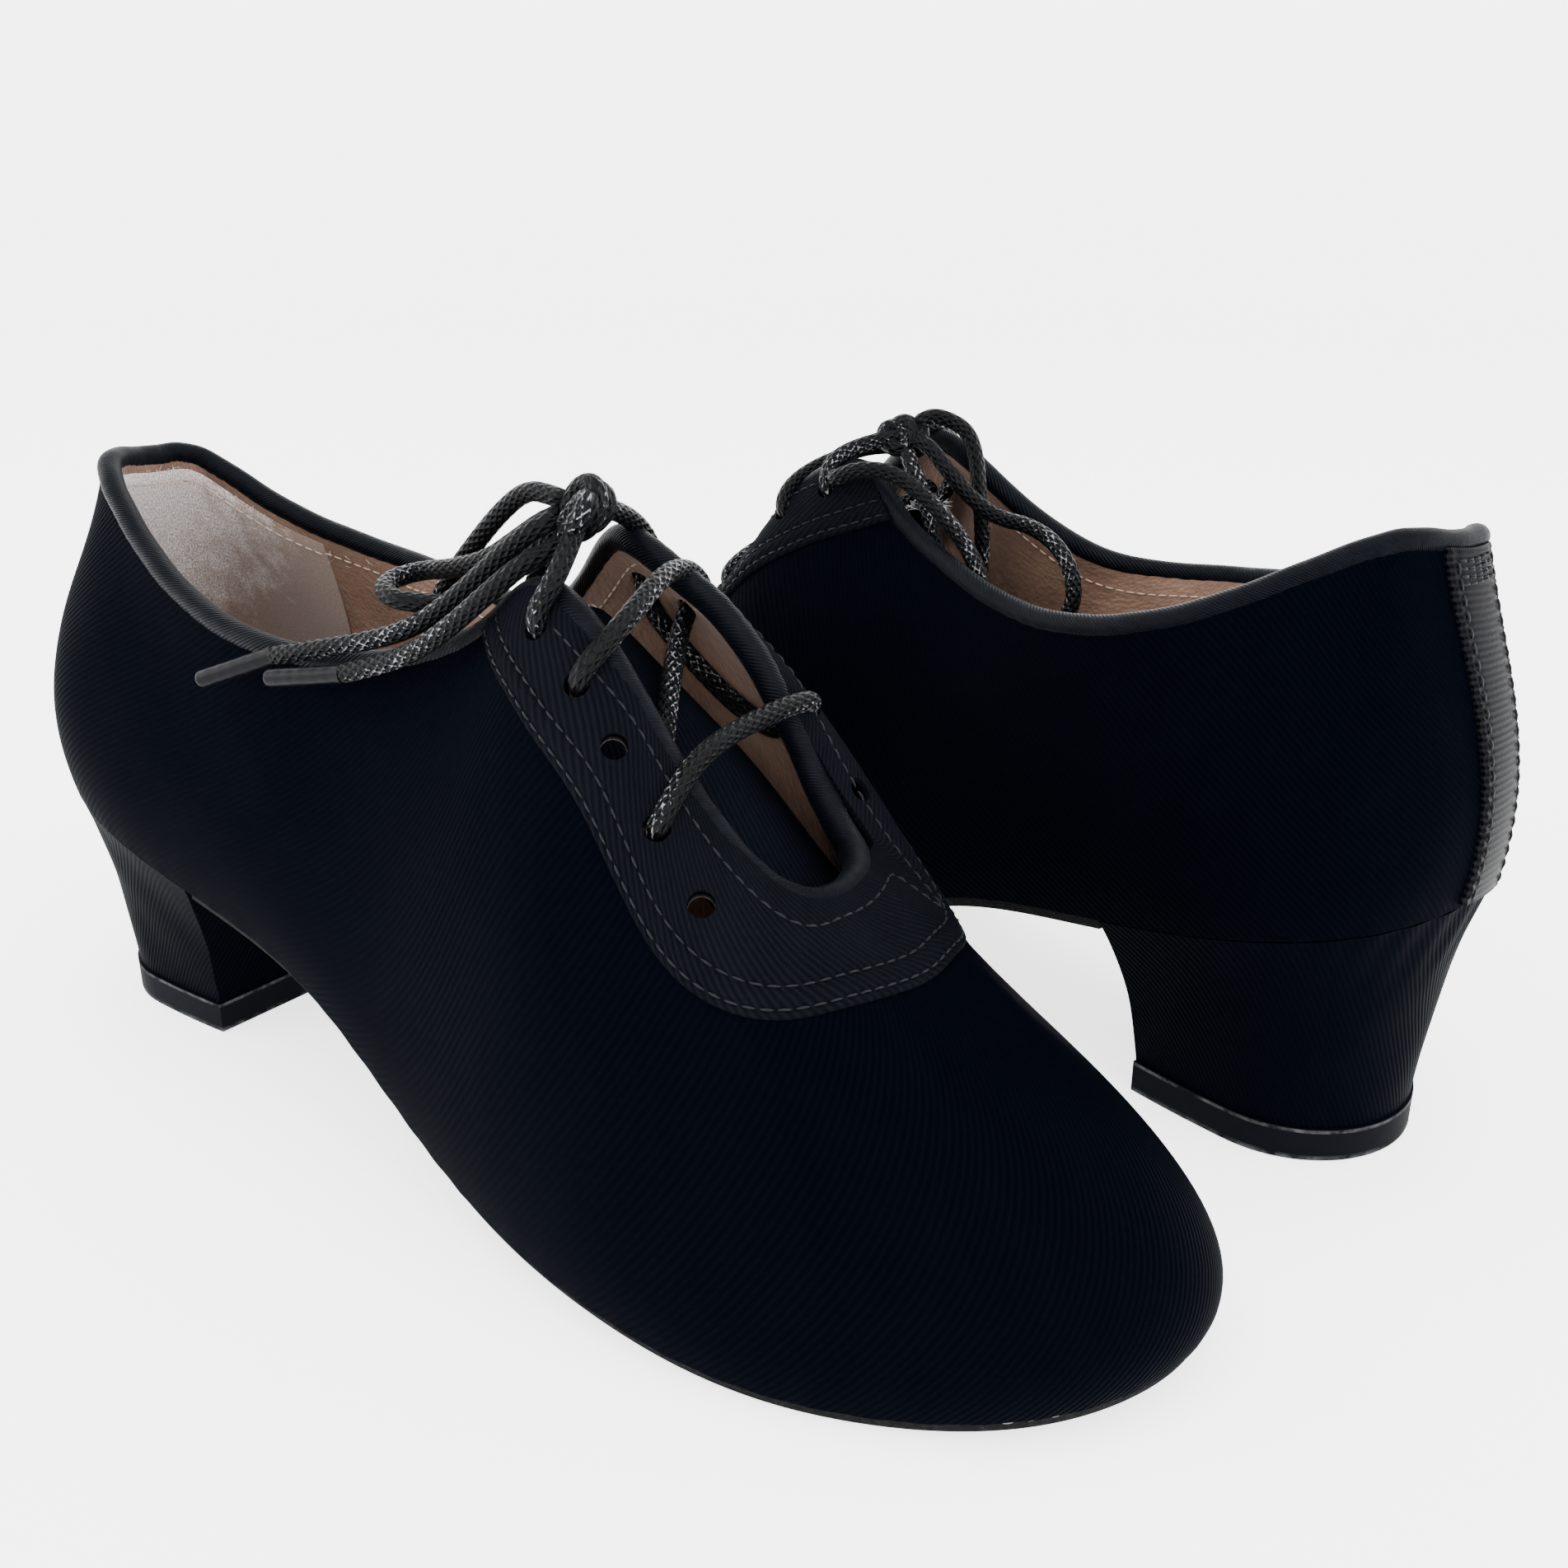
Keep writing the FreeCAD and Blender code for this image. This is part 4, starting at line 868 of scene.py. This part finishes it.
def capped(rings, uv):
    """Tube through rings of points, with a fan of triangles to the middle of each end ring."""
    count, sides = rings.shape[:2]
    ci, cj = grid(count, sides, False, True)
    k = np.arange(sides)
    n = (k + 1) % sides
    last = (count - 1) * sides
    points = np.concatenate([rings.reshape(-1, 3), rings[:1].mean(1), rings[-1:].mean(1)])
    faces = [ci * sides + cj % sides,
             np.stack([0 * k + count * sides, n, k], -1),
             np.stack([0 * k + count * sides + 1, last + k, last + n], -1)]
    ends = [np.stack([uv[row, [0] * sides], uv[row, k], uv[row, k + 1]], 1) for row in (0, -1)]
    return points, faces, [uv[ci, cj], *ends]


def heel_shape():
    """Rings up the heel: the side from breast corner to corner, then straight across the breast,
    hollowed 1.5 mm; tucks stand up where the cloth is gathered under the heel back."""
    q = np.linspace(0, 1, 70)[:, None]
    t = np.linspace(-1, 1, 150)[None] + 0 * q
    around = heel_side(t, q + 0 * t)
    out = feather_out(t * 0.148)
    tuck = (np.sin(2 * np.pi * (t * 9 + q * 1.2)) * np.exp(-((t - 0.05) / 0.45) ** 2)
            * ease((q - .55) / .4) * 0.16)
    soft = 0.12 * np.sin(2 * np.pi * (2.1 * t + 1.4 * q)) * np.sin(np.pi * q)
    around = around + out * (tuck + soft - 0.15)[..., None]
    k = np.linspace(0, 1, 40)[None, 1:-1, None]
    breast = around[:, -1:] * (1 - k) + around[:, :1] * k
    breast = breast - [1.5, 0, 0] * np.sin(np.pi * k) * np.sin(np.pi * q)[..., None]
    rings = np.concatenate([around, breast], 1)
    far = np.arange(rings.shape[1] + 1) * 0.95
    uv = np.stack([far[None] + 0 * q, 48 * q + 0 * far[None]], -1)
    return capped(rings, uv)


heel_satin = ribbed_cloth("heel_satin", (0.0001, 0.0003, 0.0011), (0.0005, 0.0009, 0.0022),
                          0.5, 1.1, 0.00012, 0.55)
tip_rubber, tree, shader = finish("tip_rubber", (0.0015, 0.0018, 0.003), 0.6, Specular_IOR_Level=0.015)
where = wire(tree, "TexCoord").outputs["Object"]
scuff = noise(tree, where, 260, 6, 0.7)
high = wire(tree, "SeparateXYZ", {"Vector": where}).outputs["Z"]
# The pale rim along the tip's top edge is a painted highlight; the pale foot is wear, broken up by scuff
# noise.
rim_highlight = wire(tree, "MapRange", {"Value": math(tree, "ABSOLUTE", math(tree, "SUBTRACT", high, 0.0056)),
                              "From Min": 0.0004, "From Max": 0.0002}).outputs[0]
foot = wire(tree, "MapRange", {"Value": high, "From Min": 0.0010, "From Max": 0.0001}).outputs[0]
wear_and_rim_highlight = math(tree, "MULTIPLY", math(tree, "ADD", math(tree, "MULTIPLY", rim_highlight, 0.8), foot),
            wire(tree, "MapRange", {"Value": scuff, "From Min": 0.42, "From Max": 0.62}).outputs[0])
tree.links.new(ramp(tree, wear_and_rim_highlight, [(0.0, (0.0015, 0.0018, 0.003)), (1.0, (0.05, 0.05, 0.053))]),
               shader.inputs["Base Color"])
bump(tree, shader, scuff, 0.0001)
for side in SIDES:
    piece(side + "_covered_heel", side, heel_shape(), heel_satin, ["heel_cover"])
    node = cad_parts[side + "_heel_tip"]
    node.data.materials.clear()
    node.data.materials.append(tip_rubber)

# ---- Bottoms --------------------------------------------------------------------------------------
# A thin flexible outsole of dark brushed suede is cemented and sewn under the forepart and the waist.
# Inside, a tan sock covers a fibre insole board, a spring-steel shank and a thin cork filler.
SOCK_LOW, SOCK_HIGH, OUTSOLE_INSET = 4.1, 5.3, 1.2
suede_sole, tree, shader = finish("sole_suede", (0.003, 0.003, 0.003), 0.95, Sheen_Weight=0.03,
                                  Specular_IOR_Level=0.03)
where = wire(tree, "TexCoord").outputs["Object"]
nap = noise(tree, where, 900, 6, 0.75)
tree.links.new(ramp(tree, nap, [(0.4, (0.0015, 0.0015, 0.002)), (0.64, (0.006, 0.006, 0.006)),
                                (0.76, (0.08, 0.075, 0.07))]), shader.inputs["Base Color"])
bump(tree, shader, nap, 0.0004)


def board(x0, x1, inset, low, high, dish=0.0):
    """Board between the two sides of the feather line moved in by inset: x spaced by a half cosine,
    y straight across, its faces at low and high over the last's bottom and dished by y^2."""
    u = np.linspace(0, 1, 2400)
    line = feather(u) - feather_out(u) * inset
    tip, back = np.argmax(line[:, 0]), np.argmin(line[:, 0])
    line = np.roll(line, -back, 0)
    tip = (tip - back) % len(u)
    x1 = min(x1, line[tip, 0] - 0.01)
    x = x0 + (x1 - x0) * (1 - np.cos(np.linspace(0 if x0 < 40 else 0.25, 1, 150) * np.pi)) / 2
    x = x0 + (x - x[0]) * (x1 - x0) / (x[-1] - x[0])
    outer_y = np.interp(x, line[:tip, 0], line[:tip, 1])
    inner_y = np.interp(x, line[tip:, 0][::-1], line[tip:, 1][::-1])
    w = np.linspace(0, 1, 40)[None]
    w = 0.5 - 0.5 * np.cos(w * np.pi)
    y = outer_y[:, None] * (1 - w) + inner_y[:, None] * w
    x = x[:, None] + 0 * y
    curl = dish * (2 * w - 1) ** 4
    return two_faced(np.stack([x, y, seat_z(x) + high + curl], -1),
                     np.stack([x, y, seat_z(x) + low + curl], -1), np.stack([x, y], -1))


def welt_row():
    """Stitches along the outsole's edge round the toe, further back on its inner side."""
    u = np.linspace(.44, .60, 300)
    line = feather(u) - feather_out(u) * (OUTSOLE_INSET - 0.02) - [0, 0, 1.0]
    return stitches(line, feather_out(u), length=1.6, gap=1.6, thick=0.3, rise_mm=0.05)


worn_thread, tree, shader = finish("worn_thread", (0.10, 0.10, 0.105), 0.7, Sheen_Weight=0.2)
for side in SIDES:
    piece(side + "_suede_outsole", side,
          board(HEEL_SEAT_X + 0.4, 250, OUTSOLE_INSET, -GLUE - OUTSOLE_T, -GLUE), suede_sole,
          ["outsole"])
    piece(side + "_tan_sock", side, board(3, 250, 3.9, SOCK_LOW, SOCK_HIGH, 0.8), tan_leather,
          ["sock_liner"])
    piece(side + "_welt_stitches", side, welt_row(), worn_thread, crease=None)

fibre, tree, shader = finish("pressed_fibre", (0.24, 0.17, 0.11), 0.85)
where = wire(tree, "TexCoord").outputs["Object"]
fleck = noise(tree, where, 700, 5, 0.7)
tree.links.new(ramp(tree, fleck, [(0.35, (0.16, 0.11, 0.07)), (0.65, (0.32, 0.24, 0.16))]),
               shader.inputs["Base Color"])
bump(tree, shader, fleck, 0.0002)
moulded, tree, shader = finish("moulded_plastic", (0.035, 0.035, 0.037), 0.5)
bump(tree, shader, noise(tree, wire(tree, "TexCoord").outputs["Object"], 1200, 3), 0.00005)
sheet_steel, tree, shader = finish("brushed_steel", (0.45, 0.45, 0.45), 0.35, Metallic=1.0)
where = wire(tree, "Mapping", {"Vector": wire(tree, "TexCoord").outputs["Object"],
                               "Scale": (60, 900, 900)}).outputs["Vector"]
bump(tree, shader, noise(tree, where, 1.0, 3), 0.00003)
INNER_PARTS = {"heel_counter": fibre, "toe_puff": fibre, "insole_board": fibre, "bottom_filler": fibre,
               "heel_block": moulded, "heel_screw": sheet_steel, "heel_nails": sheet_steel,
               "tip_dowels": sheet_steel, "shank": sheet_steel}
for side in SIDES:
    for name, material in INNER_PARTS.items():
        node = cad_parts[f"{side}_{name}"]
        node.data.materials.clear()
        node.data.materials.append(material)

# ---- Laces ----------------------------------------------------------------------------------------
# One round braided black lace a shoe: held in rows 1, 2 and 4 of the eyelets with bars across the
# throat, tied in a knot at the top, its bow and tails left loose.  Moulded tubes finish the ends.
LACE_D = 3.2
KNOT_LACE_D = 3.4
UNDER_R = 1.7
OVER = BINDING_OUT + LACE_D / 2 + 0.7
HIGH, LOW = FACING_T + GLUE + 0.1 + LACE_D / 2, LINING_IN + 0.45 + UNDER_R
braid, tree, shader = finish("braided_lace", (0.003, 0.003, 0.004), 0.4, Sheen_Weight=0.005,
                             Sheen_Roughness=0.3, Specular_IOR_Level=0.06)
uv = wire(tree, "UVMap", uv_map="UVMap").outputs["UV"]
turn = wire(tree, "SeparateXYZ", {"Vector": uv})
one, two = [math(tree, "SINE", math(tree, operation, math(tree, "MULTIPLY", turn.outputs["X"],
                                                          8 * 2 * np.pi),
                                    math(tree, "MULTIPLY", turn.outputs["Y"], 2 * np.pi / 2.0)))
            for operation in ("ADD", "SUBTRACT")]
strand = math(tree, "MULTIPLY_ADD", math(tree, "MAXIMUM", one, two), 0.5, 0.5)
fine = noise(tree, wire(tree, "Mapping", {"Vector": uv, "Scale": (16, 1.5, 1)}).outputs["Vector"], 1.0, 3)
# Painted highlight: silvery glints on the braid, painted only within a lit band half round the lace.
painted_lit_band = math(tree, "MULTIPLY_ADD", math(tree, "SINE", math(
    tree, "MULTIPLY_ADD", turn.outputs["X"], 2 * np.pi, math(tree, "MULTIPLY", turn.outputs["Y"], 0.11))),
    0.35, 0.75)
painted_glint = math(tree, "MULTIPLY", math(tree, "MULTIPLY", strand, fine), painted_lit_band)
tree.links.new(ramp(tree, painted_glint, [(0.44, (0.0008, 0.001, 0.0014)), (0.52, (0.003, 0.003, 0.004)),
                                  (0.62, (0.16, 0.16, 0.175))]), shader.inputs["Base Color"])
bump(tree, shader, strand, 0.0003)


def route(name, points):
    """Points along the quadratic spline that the route's points steer, ends included."""
    curve = bpy.data.curves.new(name, "CURVE")
    curve.dimensions, curve.resolution_u = "3D", 16
    spline = curve.splines.new("NURBS")
    spline.points.add(len(points) - 1)
    spline.points.foreach_set("co", np.column_stack([points, np.ones(len(points))]).ravel())
    spline.order_u, spline.use_endpoint_u = 3, True
    holder = bpy.data.objects.new(name, curve)
    bpy.context.scene.collection.objects.link(holder)
    bpy.context.view_layer.update()
    mesh = bpy.data.meshes.new_from_object(
        holder.evaluated_get(bpy.context.evaluated_depsgraph_get()))
    line = np.empty(3 * len(mesh.vertices))
    mesh.vertices.foreach_get("co", line)
    bpy.data.objects.remove(holder)
    bpy.data.curves.remove(curve)
    bpy.data.meshes.remove(mesh)
    return line.reshape(-1, 3)


def frames(line, closed=False):
    """Directions along and across a line, turned as little as possible from ring to ring."""
    along = unit(np.roll(line, -1, 0) - np.roll(line, 1, 0) if closed else np.gradient(line, axis=0))
    a = unit(np.cross(along[0], [0.2, 0.3, 1.0]))
    across = [a]
    for way in along[1:]:
        a = a - way * (a @ way)
        a = a / np.linalg.norm(a)
        across.append(a)
    across = np.array(across)
    return across, np.cross(along, across)


def lace(line, diameter, step=0.45, sides=24):
    """Braided tube: radius r (0.97 + 0.03 max(sin(8a + ks), sin(8a - ks))) at angle a and length s,
    rounded off over the last 0.9 mm of each end."""
    span = np.append(0, np.cumsum(np.linalg.norm(np.diff(line, axis=0), axis=1)))
    s = np.linspace(0, span[-1], int(span[-1] / step) + 2)
    line = np.stack([np.interp(s, span, line[:, k]) for k in range(3)], -1)
    a, b = frames(line)
    angle = np.arange(sides) / sides * 2 * np.pi
    phase = 2 * np.pi / 2.0 * s[:, None]
    relief = np.maximum(np.sin(8 * angle + phase), np.sin(8 * angle - phase))
    fat = diameter / 2 * (0.97 + 0.03 * relief)
    ends = np.clip(np.minimum(s, s[-1] - s) / 0.9, 0, 1)
    fat = fat * (0.55 + 0.45 * np.sqrt(1 - (1 - ends) ** 2))[:, None]
    rings = line[:, None] + fat[..., None] * (a[:, None] * np.cos(angle)[:, None]
                                              + b[:, None] * np.sin(angle)[:, None])
    turn = np.arange(sides + 1) / sides
    uv = np.stack([turn[None] + 0 * s[:, None], s[:, None] + 0 * turn[None]], -1)
    return capped(rings, uv), line, s[-1]


def crossing(u):
    """The point over the rolled binding at u, where the lace goes over it into the throat."""
    return [top_line(u) + skin_normal(u, 1.0) * OVER]


def held_route(knot):
    """The lace from the knot through eyelets 1, 2, 4 and back: bars at rows 2 and 4."""
    outer, inner = eyelet_uv

    def out(uv):
        return layer(*uv, -HIGH)

    def under(uv):
        return layer(*uv, LOW)

    first, last = crossing(.298)[::-1], crossing(.704)
    return np.array(
        [knot] + first + [out(outer[0]), under(outer[0]), under(outer[1]), out(outer[1])]
        + crossing(.322) + crossing(.679)[::-1]
        + [out(inner[1]), under(inner[1]), under(outer[3]), out(outer[3])]
        + crossing(.378) + crossing(.618)[::-1]
        + [out(inner[3]), under(inner[3]), layer(inner[2][0], inner[2][1] - .14, LOW),
           layer(inner[1][0], inner[1][1] - .14, LOW), under(inner[0]), out(inner[0])]
        + last + [knot + [1, 2, 0]])


KNOTS = {"right": (132.5, -1, 110.5), "left": (131, .5, 105.5)}
STRANDS = {
    "right": {
        "bow_loop_a": [
            (125.7, -.6, 111.4), (119.5, 0, 111.5), (113, 0, 107), (105.5, 0, 100),
            (98.5, -.5, 92.5), (94, -.5, 85), (95.5, .5, 78.5), (102, 2, 75.5), (108.5, 3, 80),
            (113, 3.5, 88), (116.5, 3.5, 96.5), (121.5, 3.5, 103.5), (127, 2, 107)],
        "bow_loop_b": [
            (126.4, -2.9, 108.4), (121.5, -4.5, 104.8), (115.5, -5.3, 100.8), (107, -5, 98),
            (98.3, -4.7, 96.2), (96.8, -9.4, 95.6), (99.4, -13.8, 95.2), (104.2, -15.4, 94.6),
            (108.5, -12.9, 94.2), (113.5, -9.8, 94), (118, -7.6, 96.5), (122, -6.3, 100),
            (125.3, -5.2, 103.3), (128.5, -4, 106)],
        "lace_tail_a": [
            (129.5, -7.5, 108.5), (125, -9.5, 105), (120, -11.5, 100), (114.5, -13.8, 95),
            (108, -16, 90.5), (99.5, -18, 87.5), (91, -20, 85.3), (85.5, -21.3, 83.8),
            (80, -22.2, 82.4)],
        "lace_tail_b": [
            (132.5, -6.5, 105.5), (129.3, -11, 103.5), (124.5, -14.5, 98.5), (118, -17, 92.5),
            (110.5, -18.3, 87.5), (103, -20, 84.5), (97, -21.5, 82.5)],
    },
    "left": {
        "bow_loop": [
            (124.2, .1, 104.7), (120, 1.5, 100), (115.5, 4, 94.5), (110.5, 6.5, 91),
            (103.5, 8, 90.5), (96.5, 8, 88), (92, 8, 82.5), (91, 7, 76), (94.5, 4, 70.5),
            (101.5, 0, 69), (108.5, -3.5, 72.5), (113.5, -5, 79.5), (117, -5, 88),
            (120.5, -4.5, 96), (125.5, -3.5, 101.5)],
        "lace_tail_a": [
            (134.2, -17.35, 98.3), (127.5, -15.8, 101.5), (122, -11.8, 101), (116, -9.3, 97),
            (110.5, -7.8, 92.3), (106.3, -5.8, 86.5), (102, -6.5, 80), (98.5, -7.5, 73.5)],
        "lace_tail_b": [
            (127.8, 3.9, 109.4), (125, 6.5, 109), (121.5, 9.3, 106.5), (119, 9.3, 101.5),
            (117, 8, 95.5), (115, 7.3, 88), (114.5, 7, 81), (115, 6.5, 75)],
    },
}
AGLET_ENDS = {"right": {"a": (65.3, -27.8, 76.4), "b": (81.5, -24.8, 79.5)},
              "left": {"a": (94.5, -8.5, 58), "b": (115.5, 5, 59.5)}}
AGLET_D, AGLET_L, INTO_KNOT = 3.0, 16.0, 2.6
aglet_film, tree, shader = finish("aglet_film", (0.002, 0.002, 0.003), 0.3, Specular_IOR_Level=0.05)
uv = wire(tree, "UVMap", uv_map="UVMap").outputs["UV"]
bump(tree, shader, noise(tree, uv, 0.6, 3), 0.0001)


def aglet(start, end):
    """Tube whose radius swells by a twentieth at its mouth and rounds off at its tip, with a lapped
    seam down one side."""
    q = np.concatenate([[0, 0.004], np.linspace(0.02, 0.94, 24), [0.965, 0.985, 0.996, 1.0]])
    line = start + (end - start) * q[:, None]
    a, b = frames(line)
    angle = np.arange(28) / 28 * 2 * np.pi
    radius = AGLET_D / 2 * (1 + 0.05 * np.exp(-q / 0.03) + 0.02 * np.sin(40 * q))
    radius = radius * np.sqrt(np.clip(1 - (np.maximum(q - 0.94, 0) / 0.062) ** 2, 0.02, 1))
    lap = 1 + 0.05 * (angle / (2 * np.pi))
    fat = radius[:, None] * lap
    rings = line[:, None] + fat[..., None] * (a[:, None] * np.cos(angle)[:, None]
                                              + b[:, None] * np.sin(angle)[:, None])
    turn = np.arange(29) / 28 * 9.4
    uv = np.stack([turn[None] + 0 * q[:, None], q[:, None] * AGLET_L + 0 * turn[None]], -1)
    return capped(rings, uv)


def knot_turn(middle, a, b, turns=1.0, start=0.0):
    """One wrap of the knot: middle + a cos + b sin of an angle that runs the given turns."""
    angle = start + np.linspace(0, turns * 2 * np.pi, 60)[:, None]
    return np.array(middle) + np.array(a) * np.cos(angle) + np.array(b) * np.sin(angle)


KNOT_TURNS = {
    "right": [((0, 0, 0), (2.6, 0.4, 2.2), (-1.6, 1.2, 2.6), 1.15, 0.3),
              ((-1.5, 2.3, -.6), (2.8, 1.2, 0.6), (-.8, 1.4, 2.4), 1.1, 1.9),
              ((.9, -2.6, -.9), (2.6, -.9, 1.3), (.6, 1.5, 2.3), 1.1, 3.4)],
    "left": [((0, 0, 0), (2.2, 0.3, 1.5), (-1.2, .9, 1.9), 1.15, 0.3),
             ((-1.2, 1.5, -.4), (2.3, .9, .4), (-.6, 1.1, 1.7), 1.1, 1.9),
             ((.9, -1.6, -.5), (2.2, -.7, .9), (.5, 1.2, 1.6), 1.1, 3.4)]}
for side in SIDES:
    knot = np.array(KNOTS[side], float)
    line = route("held", held_route(knot))
    shape, _, _ = lace(line, LACE_D)
    piece(side + "_held_lace", side, shape, braid, ["lace_rungs"], crease=None)
    wraps = [lace(knot_turn(knot + middle, a, b, turns, start), KNOT_LACE_D)[0]
             for middle, a, b, turns, start in KNOT_TURNS[side]]
    piece(side + "_knot", side, join(wraps), braid, ["lace_knot"], crease=None)
    for name, points in STRANDS[side].items():
        steer = np.array(points, float)
        steer = np.vstack([steer[:1] + unit(knot - steer[0]) * INTO_KNOT, steer])
        if "loop" in name:
            steer = np.vstack([steer, steer[-1:] + unit(knot - steer[-1]) * INTO_KNOT])
        shape, line, length = lace(route(name, steer), LACE_D)
        made = piece(f"{side}_{name}_braid", side, shape, braid, [name], crease=None)
        ends = ["object"]
        if "tail" in name:
            tip = np.array(AGLET_ENDS[side][name[-1]], float)
            last = np.array(points[-1], float)
            way = unit(tip - last)
            end_piece = piece(f"{side}_aglet_{name[-1]}_film", side,
                              aglet(last - way * 0.6, last + way * AGLET_L), aglet_film,
                              [f"aglet_{name[-1]}"], crease=None)

# ---- Studio ---------------------------------------------------------------------------------------
# The pair stands on a white sweep that glows, so it casts no shadow, under a broad overhead softbox
# and two side panels.
camera = bpy.data.objects.new("camera", bpy.data.cameras.new("camera"))
bpy.context.scene.collection.objects.link(camera)
CAMERA_AT = (0.18230, -0.22776, 0.16389)
CAMERA_TURN, CAMERA_TILT = np.radians(128.17), np.radians(-21.885)
camera.location = CAMERA_AT
camera.rotation_euler = (np.pi / 2 + CAMERA_TILT, 0, CAMERA_TURN - np.pi / 2)
camera.data.lens, camera.data.sensor_width = 37.79, 36.0
camera.data.clip_start = 0.01
bpy.context.scene.camera = camera

white, tree, shader = finish("studio_white", (0.88, 0.88, 0.88), 0.9, Specular_IOR_Level=0.1,
                             Emission_Color=(1, 1, 1, 1), Emission_Strength=2.2)
bump(tree, shader, noise(tree, wire(tree, "TexCoord").outputs["Object"], 30, 2), 0.00002)
far = np.concatenate([np.linspace(0, 1.6, 24), 1.6 + 0.8 * np.sin(np.linspace(0, np.pi / 2, 20)[1:])])
high = np.concatenate([np.zeros(24), 0.8 * (1 - np.cos(np.linspace(0, np.pi / 2, 20)[1:]))])
far, high = np.append(far, 2.4), np.append(high, 1.6)
angle = np.arange(96) / 96 * 2 * np.pi
rings = np.stack([far[:, None] * np.cos(angle), far[:, None] * np.sin(angle),
                  high[:, None] + 0 * angle], -1)
rings[0] = [0, 0, 0]
rings[:, :, 2] -= 0.0002
ci, cj = grid(len(far), 96, False, True)
mesh = bpy.data.meshes.new("sweep")
mesh.from_pydata(rings.reshape(-1, 3).tolist(), [], (ci * 96 + cj % 96).tolist())
mesh.shade_smooth()
mesh.materials.append(white)
sweep = bpy.data.objects.new("sweep", mesh)
bpy.context.scene.collection.objects.link(sweep)
sweep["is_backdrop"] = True

world = bpy.data.worlds.new("studio")
world.use_nodes = True
world.node_tree.nodes["Background"].inputs["Color"].default_value = (1, 1, 1, 1)
world.node_tree.nodes["Background"].inputs["Strength"].default_value = 1.3
bpy.context.scene.world = world
PANELS = [("overhead", (0.1, -0.1, 1.3), (0, 0, 0), 1.4, 30),
          ("left_panel", (-0.9, -1.1, 0.7), (0, 0, 0.05), 0.9, 12),
          ("right_panel", (1.2, 0.1, 0.8), (0, 0, 0.05), 0.8, 8)]
for name, at, toward, size, power in PANELS:
    lamp = bpy.data.lights.new(name, "AREA")
    lamp.size, lamp.energy = size, power
    holder = bpy.data.objects.new(name, lamp)
    holder.location = at
    way = np.array(toward) - at
    holder.rotation_euler = (np.arccos(-way[2] / np.linalg.norm(way)), 0,
                             np.arctan2(way[1], way[0]) - np.pi / 2)
    bpy.context.scene.collection.objects.link(holder)

size = {"frame": [list(map(float, c)) for c in frame_box],
        "visual": [list(map(float, c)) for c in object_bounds()]}
